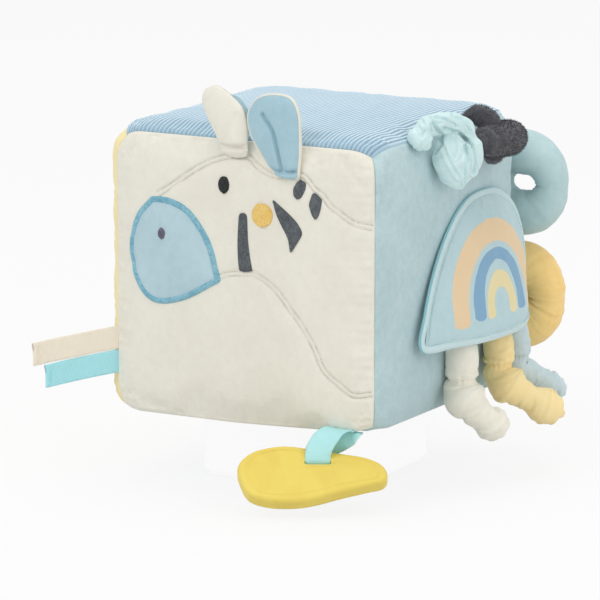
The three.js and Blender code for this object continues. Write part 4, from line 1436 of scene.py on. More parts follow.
@dataclass
class PaddedCube:
    """The six cover panels, sewn at their seams and blown up by their filling."""

    shoulder_rise: float = 3.5 * MM
    crown: float = 2.5 * MM
    base_cut: float = 0.5 * MM
    seam_gap: float = 0.12 * MM
    cloth: float = 1.6 * MM
    sim_knots: int = 41
    swell_cap: float = 1.4 * MM
    pucker: float = 0.3 * MM
    pucker_reach: float = 7 * MM
    pucker_length: float = 6.5 * MM
    dip: float = 2 * MM
    roll: float = 2.5 * MM
    roll_at: float = 4.5 * MM
    panels: dict[Side, Panel] = field(default_factory=dict)

    def __post_init__(self) -> None:
        """Lays out the six panels."""
        for side in Side:
            half_v, reach = (HALF, HALF_TALL) if side in (Side.TOP, Side.BASE) else (HALF_TALL, HALF)
            crown, limit = self.crown, self.shoulder_rise + self.crown
            if side is Side.BASE:
                crown, limit = self.base_cut, SEAM_Z
            self.panels[side] = Panel(side, half_v, reach, crown, limit)

    def blow_up(self) -> None:
        """Simulates the sewn shell as cloth under pressure and keeps each panel's swelling."""
        t = np.linspace(0, 1, self.sim_knots)
        knots = t - 0.5 * np.sin(2 * np.pi * t) / (2 * np.pi)
        count = len(knots)
        faces, owners, index = [], {}, {}
        for side, panel in self.panels.items():
            places = ((2 * knots - 1) * half for half in (panel.half_u, panel.half_v))
            grid = panel.place(*np.meshgrid(*places, indexing="ij")).reshape(-1, 3)
            own = [index.setdefault(tuple(np.round(point, 6)), (len(index), point))[0] for point in grid]
            owners[side] = np.array(own).reshape(count, count)
            faces += [tuple(own[k] for k in f) for f in grid_faces(count, count)]
        shell = np.array([point for _, point in index.values()])
        edges = [np.concatenate([own[0], own[-1], own[:, 0], own[:, -1]]) for own in owners.values()]
        moved = inflate(shell, faces, np.unique(edges), self.swell_cap) - shell
        for side, own in owners.items():
            if side is not Side.BASE:
                self.panels[side].knots = knots
                self.panels[side].swell = (moved[own.ravel()] @ side.axes[2]).reshape(count, count)

    def gather_seams(self) -> None:
        """Adds the short puckers that sewing leaves beside each seam, and the left panel's roll."""
        for number, (side, panel) in enumerate(self.panels.items()):
            amount = self.pucker * (0.3 if side is Side.BASE else 1.0)
            wobbles = [Ripple(11 * number + k + 5) for k in range(4)]
            panel.extra.append(partial(self.puckers, panel, wobbles, amount))
        self.panels[Side.LEFT].extra.append(self.rolled_forward)

    def puckers(self, panel: Panel, wobbles: list[Ripple], amount: float, u: Points, v: Points) -> Points:
        """Gives the height of the puckers along a panel's seams.

        Args:
            panel: The panel.
            wobbles: One wobble for each seam.
            amount: The puckers' height.
            u: Places to the right.
            v: Places upwards.

        Returns:
            Heights.
        """
        sides = ((panel.half_u - u, v), (u + panel.half_u, v), (panel.half_v - v, u), (v + panel.half_v, u))
        total = np.zeros_like(u)
        for (away, along), wobble in zip(sides, wobbles):
            fade = np.exp(-np.maximum(away, 0) / self.pucker_reach) * np.clip(away / self.dip, 0, 1)
            total = total + fade * wobble(along / self.pucker_length)
        return amount * total

    def rolled_forward(self, u: Points, v: Points) -> Points:
        """Gives the roll of the left panel beside the front seam.

        Args:
            u: Places to the right.
            v: Places upwards.

        Returns:
            Heights.
        """
        away = self.panels[Side.LEFT].half_u - u
        ends = np.clip((HALF_TALL - np.abs(v)) / self.pucker_reach, 0, 1)
        rolled = bell((away - self.roll_at) / self.roll_at) * np.clip(away / self.dip, 0, 1)
        return self.roll * rolled * ends * (2 - ends)

    def places(self, count: int, half: float) -> Points:
        """Spaces a panel's points along one side, with its turned-in edge twice at both ends.

        Args:
            count: Points between the seams.
            half: Half of the side.

        Returns:
            Places from the panel's middle.
        """
        t = np.linspace(0, 1, count)
        at = (2 * (t - 0.35 * np.sin(2 * np.pi * t) / (2 * np.pi)) - 1) * (half - self.seam_gap)
        return np.concatenate([[at[0] + self.cloth, at[0]], at, [at[-1], at[-1] - self.cloth]])

    def cover(self, side: Side, finish: Material, columns: int, rows: int) -> tuple[Piece, Points]:
        """Makes one panel's cloth, turned in at its seams.

        Args:
            side: Which panel.
            finish: Its material.
            columns: Points to the right.
            rows: Points upwards.

        Returns:
            The panel's object and the place to the right of each vertex.
        """
        panel = self.panels[side]
        spans = self.places(columns, panel.half_u), self.places(rows, panel.half_v)
        grid_u, grid_v = np.meshgrid(*spans, indexing="ij")
        depth = np.zeros_like(grid_u)
        for ring, amount in ((1, 0.5 * self.cloth), (0, self.cloth)):
            for cut in (np.s_[ring, :], np.s_[-1 - ring, :], np.s_[:, ring], np.s_[:, -1 - ring]):
                depth[cut] = amount
        points = panel.place(grid_u, grid_v) - depth[..., None] * side.axes[2]
        uv = np.stack([grid_u, grid_v], axis=-1)
        return make_piece(f"{side.value[0]}_panel", points, grid_faces(*grid_u.shape), finish, uv), grid_u

    def build(self, shop: Workshop) -> None:
        """Makes and dresses all six panels.

        Args:
            shop: The workshop.
        """
        looks = {
            Side.FRONT: (shop.finishes.cream, 290, 280, "cream_velour"),
            Side.RIGHT: (shop.finishes.blue, 120, 120, "blue_velour"),
            Side.BACK: (shop.finishes.blue, 120, 120, "blue_velour"),
            Side.LEFT: (shop.finishes.yellow, 120, 120, "yellow_velour"),
            Side.TOP: (shop.finishes.corduroy, 560, 70, "blue_corduroy"),
            Side.BASE: (shop.finishes.blue, 90, 90, "blue_velour"),
        }
        for side, (finish, columns, rows, slot) in looks.items():
            piece, across = self.cover(side, finish, columns, rows)
            if side is Side.TOP:
                piece = shop.ribs.ribbed(piece, across, 0.75 * MM)
            hand_over(piece, "cube", [f"{side.value[0]}_cover"], slot)


# The zebra's face


@dataclass
class ZebraFace:
    """The muzzle patch, the satin-stitched shapes and the twin stitch lines of the head."""

    head: float = 100 * MM
    border: float = 3.0 * MM
    rise: float = 1.2 * MM
    thread: float = 0.24 * MM
    spacing: float = 0.36 * MM
    groove_depth: float = 0.75 * MM
    groove_width: float = 0.75 * MM
    hollow_depth: float = 0.45 * MM
    hollow_width: float = 3.5 * MM
    twin_gap: float = 2.4 * MM
    low: float = 0.15 * MM
    muzzle: tuple = (
        (-0.512, 0.405), (-0.399, 0.402), (-0.295, 0.362), (-0.211, 0.279), (-0.146, 0.171), (-0.1, 0),
        (-0.166, -0.038), (-0.298, -0.109), (-0.421, -0.145), (-0.497, -0.145), (-0.563, -0.11),
        (-0.624, -0.016), (-0.652, 0.099), (-0.642, 0.199), (-0.598, 0.311),
    )  # fmt: skip
    brow: tuple = (
        (-0.474, 0.417), (-0.37, 0.487), (-0.256, 0.564), (-0.163, 0.613), (-0.069, 0.641), (0.023, 0.651),
        (0.096, 0.603), (0.2, 0.566), (0.29, 0.577), (0.364, 0.577), (0.435, 0.514), (0.481, 0.483),
        (0.527, 0.433), (0.589, 0.396), (0.66, 0.357), (0.735, 0.34),
    )  # fmt: skip
    jaw: tuple = (
        (-0.1, 0.026), (-0.016, 0.049), (0.077, 0.054), (0.158, 0.024), (0.234, -0.034), (0.297, -0.11),
        (0.349, -0.169), (0.424, -0.28), (0.488, -0.407), (0.58, -0.48), (0.648, -0.519), (0.735, -0.51),
    )  # fmt: skip
    long_stripe: tuple = ((0.03, 0.341), (0.032, 0.207), (0.046, 0.071))
    stripe_width: float = 4.8 * MM
    middle_stripe: tuple = (
        (0.198, 0.449), (0.28, 0.389), (0.343, 0.336), (0.372, 0.29),
        (0.303, 0.181), (0.294, 0.252), (0.271, 0.296), (0.226, 0.366),
    )  # fmt: skip
    upper_stripe: tuple = (
        (0.351, 0.557), (0.38, 0.542), (0.382, 0.518), (0.362, 0.474),
        (0.342, 0.463), (0.321, 0.477), (0.319, 0.51), (0.335, 0.54),
    )  # fmt: skip
    rear_stripe: tuple = (
        (0.425, 0.495), (0.447, 0.486), (0.474, 0.465), (0.468, 0.415),
        (0.458, 0.382), (0.445, 0.369), (0.428, 0.383), (0.409, 0.438),
    )  # fmt: skip

    def drawn(self, shares: Sequence[tuple[float, float]]) -> Points:
        """Turns shares of the head's size into places on the panel."""
        return np.array(shares) * self.head

    def lines(self) -> list[Points]:
        """Gives the four stitch lines.

        Returns:
            The brow's two and the jaw's two.
        """
        made = []
        for shares in (self.brow, self.jaw):
            middle = evenly(smooth_path(self.drawn(shares)), 260)
            aside = left_of(unit(np.gradient(middle, axis=0))) * self.twin_gap / 2
            made += [middle + aside, middle - aside]
        return made

    def pulled(self, u: Points, v: Points) -> Points:
        """Gives how the stitch lines pull the cloth in.

        Args:
            u: Places to the right.
            v: Places upwards.

        Returns:
            Heights, below 0.
        """
        spots = np.stack([np.ravel(u), np.ravel(v)], axis=1)
        away = nearest_distance(spots, np.concatenate(self.lines()))
        dip = self.groove_depth * bell(away / self.groove_width)
        return -(dip + self.hollow_depth * bell(away / self.hollow_width)).reshape(np.shape(u))

    @staticmethod
    def filled(outline: Points, direction: float, spacing: float) -> tuple[Points, Points]:
        """Fills an outline with parallel threads.

        Args:
            outline: A closed outline on the panel.
            direction: The threads' direction, in radians from the horizontal.
            spacing: The distance from thread to thread.

        Returns:
            The threads' starts and ends on the panel.
        """
        along = np.array([math.cos(direction), math.sin(direction)])
        aside = np.array([-along[1], along[0]])
        level, reach = outline @ aside, outline @ along
        after, far = np.roll(level, -1), np.roll(reach, -1)
        starts, ends = [], []
        for at in np.arange(level.min() + spacing / 2, level.max(), spacing):
            crossed = (level - at) * (after - at) < 0
            share = (at - level[crossed]) / (after[crossed] - level[crossed])
            hits = np.sort(reach[crossed] + (far[crossed] - reach[crossed]) * share)
            starts += [aside * at + along * hit for hit in hits[::2]]
            ends += [aside * at + along * hit for hit in hits[1::2]]
        return np.array(starts), np.array(ends)

    @staticmethod
    def cushion(
        panel: Panel, name: str, outline: Points, finish: Material, low: float, rise: float, rings: int = 8
    ) -> Piece:
        """Lays a low cushion over an outline on the panel.

        Args:
            panel: The panel that carries it.
            name: The piece's name.
            outline: Its outline on the panel.
            finish: Its material.
            low: Its rim's height over the cloth.
            rise: How much higher its middle is.
            rings: Rings from the middle to the rim.

        Returns:
            The cushion.
        """
        count, rim = len(outline), 0.35 * MM
        shares = np.linspace(1, 0, rings + 1)[:-1]
        spots = np.concatenate([outline, *shrunk(outline, shares), outline.mean(axis=0)[None]])
        lifts = [low - rim] + [low + rise * (1 - s**2.6) ** 0.7 for s in shares]
        points = panel.place(*spots.T, np.append(np.repeat(lifts, count), low + rise))
        faces = [f[::-1] for f in grid_faces(rings + 1, count, wrap=True)]
        faces += fan((rings + 1) * count, rings * count, count, against=False)
        return make_piece(name, points, faces, finish, spots)

    def satin(
        self,
        shop: Workshop,
        panel: Panel,
        node: str,
        slot: str,
        outline: Points,
        turn: float,
        finish: Material,
        low: float,
    ) -> None:
        """Stitches a filled shape: a raised bed of threads over a padded base.

        Args:
            shop: The workshop.
            panel: The front panel.
            node: The CAD node that the shape stands for.
            slot: Its material slot.
            outline: The shape's outline on the panel.
            turn: The threads' direction, in radians.
            finish: The thread's material.
            low: The height of the cloth below the threads.
        """
        name = node + "_stitched"
        starts, ends = self.filled(outline, turn, self.spacing)
        lifts = panel.normal(*((starts + ends) / 2).T)
        both = (panel.place(*spots.T, low) for spots in (starts, ends))
        sizes = {"Thread_Radius": self.thread, "Arch": 0.75 * self.rise}
        threads = shop.stitches.sew(name, *both, lifts, finish, **sizes)
        bed = self.cushion(panel, name + "_bed", outline, finish, low, 0.55 * self.rise)
        hand_over(join([threads, bed], name), "cube", [node], slot)

    def build_muzzle(self, shop: Workshop, panel: Panel) -> None:
        """Makes the muzzle's patch and its satin border.

        Args:
            shop: The workshop.
            panel: The front panel.
        """
        finish = shop.finishes.muzzle_thread
        shares = self.drawn(self.muzzle)
        halves = [smooth_path(part, per_span=12)[:-1] for part in (shares[:6], np.vstack([shares[5:], shares[:1]]))]
        outline = averaged(turned_left(evenly(np.concatenate(halves), 240, closed=True)))
        inside = outline + calmed(left_of(along_loop(outline)), 8) * (self.border - 0.4 * MM)
        patch = self.cushion(panel, "muzzle", inside, shop.finishes.soft_blue, 0.45 * MM, 1.6 * MM, 40)
        hand_over(patch, "cube", ["muzzle_patch"], "blue_velour")

        rail = evenly(outline, int(path_length(outline) / self.spacing), closed=True)
        along = calmed(along_loop(rail), 6)
        inwards = left_of(along)
        far = rail + inwards * self.border
        leaning = far + along * 0.35 * MM
        lifts = panel.normal(*((rail + far) / 2).T)
        both = panel.place(*rail.T), panel.place(*leaning.T, 0.55 * MM)
        sizes = {"Thread_Radius": self.thread, "Arch": 0.8 * MM}
        threads = shop.stitches.sew("muzzle_rim_threads", *both, lifts, finish, **sizes)
        bed_ring = np.stack([rail, rail + inwards * self.border * 0.5, far])
        bed_points = panel.place(bed_ring[..., 0], bed_ring[..., 1], np.array([0.0, 0.85 * MM, 0.4 * MM])[:, None])
        faces = [f[::-1] for f in grid_faces(3, len(rail), wrap=True)]
        bed = make_piece("muzzle_rim_bed", bed_points, faces, finish)
        hand_over(join([threads, bed], "muzzle_rim"), "cube", ["muzzle_border"], "satin_thread")

    def long_bar(self) -> Points:
        """Outlines the long stripe, a bar with round ends.

        Returns:
            The outline.
        """
        bar = evenly(smooth_path(self.drawn(self.long_stripe)), 30)
        along = unit(np.gradient(bar, axis=0))
        aside = left_of(along) * (self.stripe_width * np.linspace(1.0, 1.6, 30)[:, None]) / 2
        turn = np.linspace(0, np.pi, 12)[1:-1][:, None]
        low_end = bar[-1] + np.cos(turn) * aside[-1] + np.sin(turn) * along[-1] * 0.4 * MM
        high_end = bar[0] - np.cos(turn) * aside[0] - np.sin(turn) * along[0] * self.stripe_width / 2
        return np.concatenate([bar + aside, low_end, (bar - aside)[::-1], high_end])

    def softened(self, shares: Sequence[tuple[float, float]]) -> Points:
        """Rounds a stripe's corners a little, as thread does.

        Args:
            shares: The corners, in shares of the head's size.

        Returns:
            The outline.
        """
        dense = averaged(evenly(self.drawn(shares), 80, closed=True), own=1.0, rounds=5)
        return dense + unit(dense - dense.mean(axis=0)) * 0.35 * MM

    def build(self, shop: Workshop, panel: Panel) -> None:
        """Makes and dresses the whole face.

        Args:
            shop: The workshop.
            panel: The front panel.
        """
        looks, low = shop.finishes, self.low
        self.build_muzzle(shop, panel)
        spots = {
            "nostril": ((-0.44, 0.22), 4.3 * MM, 5.6 * MM, looks.nostril_thread, 1.9 * MM, "grey_thread"),
            "eye": ((-0.085, 0.499), 6.4 * MM, 8.6 * MM, looks.eye_thread, low, "grey_thread"),
            "cheek_dot": ((0.141, 0.363), 12 * MM, 12 * MM, looks.yellow_thread, low, "yellow_thread"),
        }
        turn = round_turns(48)
        for node, (share, width, height, finish, depth, slot) in spots.items():
            wobble = 1 + 0.03 * Ripple(len(node))(turn / 1.3)
            oval = np.stack([np.cos(turn) * width / 2 * wobble, np.sin(turn) * height / 2 * wobble], axis=1)
            self.satin(shop, panel, node, slot, oval + self.drawn(share), 0.12, finish, depth)
        shapes = {
            "stripe_front": (self.long_bar(), 0.0),
            "stripe_middle": (self.softened(self.middle_stripe), 0.55),
            "stripe_upper": (self.softened(self.upper_stripe), -0.15),
            "stripe_rear": (self.softened(self.rear_stripe), -0.1),
        }
        for node, (shape, slope) in shapes.items():
            self.satin(shop, panel, node, "grey_thread", shape, slope, looks.grey_thread, low)
        sizes = {"Thread_Radius": 0.2 * MM, "Arch": 0.25 * MM}
        runs = []
        for number, line in enumerate(self.lines()):
            path, lifts = panel.place(*line.T, 0.1 * MM), panel.normal(*line.T)
            run = shop.stitches.run(f"run_{number}", path, lifts, 2.3 * MM, 0.86, looks.cream_thread, **sizes)
            runs.append(run)
        hand_over(join(runs, "head_stitching"), "cube")


# Tubes, pillows and ribbons


@dataclass
class Tube:
    """A stuffed tube along a path, closed at both ends."""

    stations: Points
    radii: Points
    sides: int = 40
    relief: Callable[[Points, Points], Points] | None = None

    def frames(self) -> tuple[Points, Points, Points]:
        """Carries a cross frame along the path without twisting it.

        Returns:
            The path's directions and two directions across it, for each station.
        """
        along = unit(np.gradient(self.stations, axis=0))
        first = np.zeros_like(along)
        start = np.array([0.0, 1.0, 0.0]) if abs(along[0, 1]) < 0.9 else np.array([1.0, 0.0, 0.0])
        for i, heading in enumerate(along):
            start = start - heading * (start @ heading)
            start = start / np.linalg.norm(start)
            first[i] = start
        return along, first, np.cross(along, first)

    def build(self) -> tuple[Points, Faces]:
        """Makes the tube, with a rounded end at each side.

        Returns:
            Its points and faces.
        """
        along, first, second = self.frames()
        turn, sides = round_turns(self.sides), self.sides
        radii = self.radii[:, None] * np.ones(sides)
        if self.relief is not None:
            radii = radii + self.relief(run_of(self.stations)[:, None], turn[None, :])
        round_about = np.cos(turn)[None, :, None] * first[:, None] + np.sin(turn)[None, :, None] * second[:, None]
        rings = self.stations[:, None] + radii[..., None] * round_about
        inner, tips = [], []
        for end, sign in ((0, -1), (-1, 1)):
            middle, push = self.stations[end], along[end] * self.radii[end] * sign
            inner.append((middle + (rings[end] - middle) * 0.62 + push * 0.42)[None])
            tips.append(middle + push * 0.58)
        points = np.concatenate([inner[0], rings, inner[1]])
        tip, last = len(points) * sides, (len(points) - 1) * sides
        faces = [f[::-1] for f in grid_faces(len(points), sides, wrap=True)]
        faces += fan(tip, 0, sides, against=True) + fan(tip + 1, last, sides, against=False)
        return np.concatenate([points.reshape(-1, 3), tips]), faces


@dataclass
class Crease:
    """A line that stitching or folding presses into a soft surface."""

    path: Points
    depth: float
    width: float
    lip: float = 0.0

    def depth_at(self, points: Points) -> Points:
        """Gives how deep the crease presses at each point.

        Args:
            points: The points, in the frame of the crease.

        Returns:
            The depths.
        """
        path = np.column_stack([self.path, np.zeros(len(self.path))])
        away = nearest_distance(points, evenly(smooth_path(path), 60)) / self.width
        return self.depth * (bell(away) - self.lip * bell((away - 1.9) / 0.9))


def creases(*rows: tuple) -> tuple[Crease, ...]:
    """Makes creases from rows in millimetres: points to the right and up, depth, width and lip."""
    return tuple(Crease(np.array(path) * MM, depth * MM, width * MM, *lip) for path, depth, width, *lip in rows)


def press_from(piece: Piece, base: Points, creases: Sequence[Crease]) -> None:
    """Presses creases into the side of a piece that faces the front right.

    Args:
        piece: The piece.
        base: The point from which the creases are drawn to the right and up.
        creases: The creases.
    """
    turn, rise = math.radians(29), math.radians(11)
    back = np.array([math.sin(turn) * math.cos(rise), -math.cos(turn) * math.cos(rise), math.sin(rise)])
    right = np.array([math.cos(turn), math.sin(turn), 0.0])
    points, normals = skin_of(piece.data)
    away = points - base
    seen = np.column_stack([away @ right, away @ np.cross(back, right), np.zeros(len(points))])
    depth = sum(crease.depth_at(seen) for crease in creases) * np.clip(normals @ back / 0.35, 0, 1)
    set_points(piece.data, points - normals * depth[:, None])


@dataclass
class Folds:
    """Short folds strewn over a stuffed tube, each a groove beside a raised lip."""

    seed: int
    count: int
    start: float
    end: float
    depth: float = 0.55 * MM
    width: float = 0.7 * MM
    slope: float = 2.2 * MM
    bow: float = 1.2 * MM

    def at(self, distance: Points, turn: Points) -> Points:
        """Gives the change of the tube's radius.

        Args:
            distance: Distances along the tube.
            turn: Turns round it.

        Returns:
            Changes of radius.
        """
        chance = np.random.default_rng(self.seed)
        total = np.zeros(np.broadcast(distance, turn).shape)
        for _ in range(self.count):
            where = chance.uniform(self.start, self.end)
            middle, reach = chance.uniform(0, 2 * np.pi), chance.uniform(0.45, 1.3)
            slope, bow = chance.normal(0, self.slope), chance.normal(0, self.bow)
            depth, width = self.depth * chance.uniform(0.5, 1.2), self.width * chance.uniform(0.8, 1.5)
            off = swing(turn, middle)
            line = (distance - where - slope * off - bow * off * off) / width
            total = total - depth * np.exp(-((off / reach) ** 4)) * (bell(line) - 0.6 * bell((line - 1.9) / 1.1))
        return total


def soft_body(name: str, parts: Sequence[tuple[Points, Faces]], finish: Material, voxel: float) -> Piece:
    """Melts closed parts into one soft skin.

    Args:
        name: The piece's name.
        parts: Points and faces of each part.
        finish: The material.
        voxel: The remesh size.

    Returns:
        The skin as a plain piece.
    """
    faces, base = [], 0
    for points, own in parts:
        faces += [tuple(base + k for k in f) for f in own]
        base += len(points)
    raw = make_piece(name + "_raw", np.concatenate([points for points, _ in parts]), faces, finish)
    remesh = raw.modifiers.new("skin", "REMESH")
    remesh.mode, remesh.voxel_size, remesh.use_smooth_shade = "VOXEL", voxel, True
    smooth = raw.modifiers.new("smooth", "SMOOTH")
    smooth.factor, smooth.iterations = 0.5, 3
    made = baked(name, raw, finish)
    made.data.shade_smooth()
    return made


@dataclass
class Strip:
    """A ribbon with rounded edges along a path, with its cloth UV in metres."""

    path: Points
    across: Points
    width: float
    thickness: float

    def build(self, name: str, finish: Material, wave: float = 0.0) -> Piece:
        """Makes the ribbon.

        Args:
            name: The piece's name.
            finish: Its material.
            wave: How far its edges wander, in metres.

        Returns:
            The ribbon.
        """
        along = unit(np.gradient(self.path, axis=0))
        across = unit(self.across)
        across = unit(across - along * (across * along).sum(axis=1, keepdims=True))
        normal = unit(np.cross(along, across))
        distance = run_of(self.path)
        half, thick = self.width / 2, self.thickness / 2
        steps = np.linspace(-1, 1, 11) * (half - thick)
        place = np.concatenate([steps, [half], steps[::-1], [-half]])
        lift = np.concatenate([np.full(11, thick), [0], np.full(11, -thick), [0]])
        lift = lift + (wave * Ripple(3)(distance / (9 * MM)))[:, None] * (place / half) ** 2
        points = self.path[:, None] + across[:, None] * place[None, :, None] + normal[:, None] * lift[..., None]
        count, ring = len(self.path), len(place)
        faces = grid_faces(count, ring, wrap=True)
        faces += [tuple(range(ring - 1, -1, -1)), tuple((count - 1) * ring + k for k in range(ring))]
        uv = np.stack(np.broadcast_arrays(place[None, :], distance[:, None]), axis=-1)
        return face_outwards(make_piece(name, points, faces, finish, uv))


def closed_shell(name: str, front: Points, back: Points, finish: Material, uv: Points) -> Piece:
    """Joins two grids of points into a thin closed shell.

    Args:
        name: The piece's name.
        front: The outer grid, columns by rows.
        back: The inner grid.
        finish: The material.
        uv: The outer grid's cloth coordinates.

    Returns:
        The shell.
    """
    columns, rows = front.shape[:2]
    count = columns * rows
    faces = grid_faces(columns, rows)
    faces += [tuple(count + k for k in f[::-1]) for f in faces]
    index = np.arange(count).reshape(columns, rows)
    rim = np.concatenate([index[:, 0], index[-1, 1:], index[-2::-1, -1], index[0, -2:0:-1]])
    faces += [(int(a), int(a) + count, int(b) + count, int(b)) for a, b in zip(rim, np.roll(rim, -1))]
    return face_outwards(make_piece(name, np.stack([front, back]), faces, finish, np.stack([uv, uv])))


# Ears


@dataclass
class Ear:
    """A stuffed ear of two pieces: a cream outer side whose edge rolls round a blue lining."""

    front: Panel
    name: str
    shares: tuple
    place_x: float
    place_z: float
    ease: float
    lining_faces_out: bool
    creases: tuple[Crease, ...]
    lining_reach: float = 0.0
    height: float = 44 * MM
    thickness: float = 7 * MM
    rim: float = 0.8 * MM
    back_share: float = 0.6
    roll: float = 1.1 * MM
    tuck_reach: float = 7 * MM
    tuck: float = 1.36 * MM
    skin: float = 0.1 * MM

    def skinned(self, name: str, levels: Sequence[Points], finish: Material) -> Piece:
        """Skins rings of points and closes both ends.

        Args:
            name: The piece's name.
            levels: The rings, each with its heights, from the back's middle to the front's.
            finish: The material.

        Returns:
            The closed piece.
        """
        rings, count = len(levels), len(levels[0])
        local = np.concatenate([*levels, [levels[0].mean(axis=0)], [levels[-1].mean(axis=0)]])
        faces = grid_faces(rings, count, wrap=True) + fan(rings * count, 0, count, against=False)
        faces += fan(rings * count + 1, (rings - 1) * count, count, against=True)
        local[:, 2] -= np.clip(1 - local[:, 1] / self.tuck_reach, 0, 1) ** 2 * self.tuck
        cloth = self.front.out_at(0.5 + self.place_x / (2 * HALF), 0.5 + self.place_z / (2 * HALF_TALL))
        base = np.array([self.place_x, -(cloth + CLEARANCE + self.rim + self.ease), MIDDLE_Z + self.place_z])
        points = base + np.column_stack([local[:, 0], -local[:, 2], local[:, 1]])
        return face_outwards(make_piece(name, points, faces, finish))

    def swelled(self, outline: Points, rise: float, count: int) -> list[Points]:
        """Rises from an outline to its middle.

        Args:
            outline: The outer ring.
            rise: The height in the middle.
            count: How many rings.

        Returns:
            Rings with their heights, from the rim to the middle.
        """
        shares = np.linspace(1, 0.03, count)
        heights = self.rim + (rise - self.rim) * (1 - shares**2.6) ** 0.72
        return [level(ring, height) for ring, height in zip(shrunk(outline, shares), heights)]

    def creased(self, levels: Sequence[Points]) -> list[Points]:
        """Presses the ear's creases into its front rings.

        Args:
            levels: The rings with their heights.

        Returns:
            The pressed rings.
        """
        made = np.stack(levels)
        flat = made.reshape(-1, 3) * (1, 1, 0)
        depth = sum((crease.depth_at(flat) for crease in self.creases), np.zeros(len(flat)))
        made[..., 2] = np.maximum(made[..., 2] - depth.reshape(made.shape[:2]), 0.35 * MM)
        return list(made)

    def build(self, shop: Workshop) -> None:
        """Makes and dresses the ear.

        Args:
            shop: The workshop.
        """
        outline = turned_left(evenly(smooth_path(np.array(self.shares) * self.height, True, 12), 190, closed=True))
        front_rise = self.thickness / (1 + self.back_share)
        back_rise = front_rise * self.back_share
        edge = [level(ring, 0.0) for ring in shrunk(outline, [1.004])]
        few = np.linspace(1, 0.03, 4)
        if self.lining_faces_out:
            back = [ring * (1, 1, -1) for ring in self.swelled(outline, back_rise, 22)][::-1]
            low, high = 0.2 * MM, 0.3 * MM
            rolled = []
            for turn in np.linspace(0.25, 1.0, 8) * np.pi:
                ring = outline_inset(outline, self.roll * 0.5 * (1 - math.cos(turn)))
                rolled.append(level(ring, low + self.roll * 0.62 * math.sin(turn)))
            under = shrunk(outline_inset(outline, self.roll), np.linspace(0.95, 0.05, 8))
            cream = back + edge + rolled + [level(ring, low) for ring in under]
            inner = outline_inset(outline, self.roll * 0.72)
            lining = [level(ring, high) for ring in shrunk(inner, few)][::-1] + [level(inner, high)]
            lining += self.creased(self.swelled(inner, front_rise, 34))
        else:
            cream = [level(ring, 0.15 * MM) for ring in shrunk(outline, few)][::-1] + edge
            cream += self.creased(self.swelled(outline, front_rise, 34))
            hem = 1.2 * MM
            grow = np.clip(outline[:, 0] / (6 * MM) + 0.6, 0, 1) * np.clip(outline[:, 1] / (14 * MM) - 0.4, 0, 1)
            wide = outline_inset(outline, hem)
            wide -= left_of(along_loop(outline)) * (grow * (hem + self.lining_reach))[:, None]
            lining = [ring * (1, 1, -1) - (0, 0, self.skin) for ring in self.swelled(wide, back_rise, 22)][::-1]
            lining += [level(ring, -self.skin) for ring in shrunk(wide, few)]
        looks = shop.finishes
        for levels, cloth, finish, node, slot in (
            (cream, "cream", looks.cream, "outer", "cream_velour"),
            (lining, "blue", looks.lining, "lining", "blue_velour"),
        ):
            piece = self.skinned(f"{self.name}_{cloth}", levels, finish)
            hand_over(piece, self.name, [f"{self.name}_{node}"], slot)


# The lift-up flap


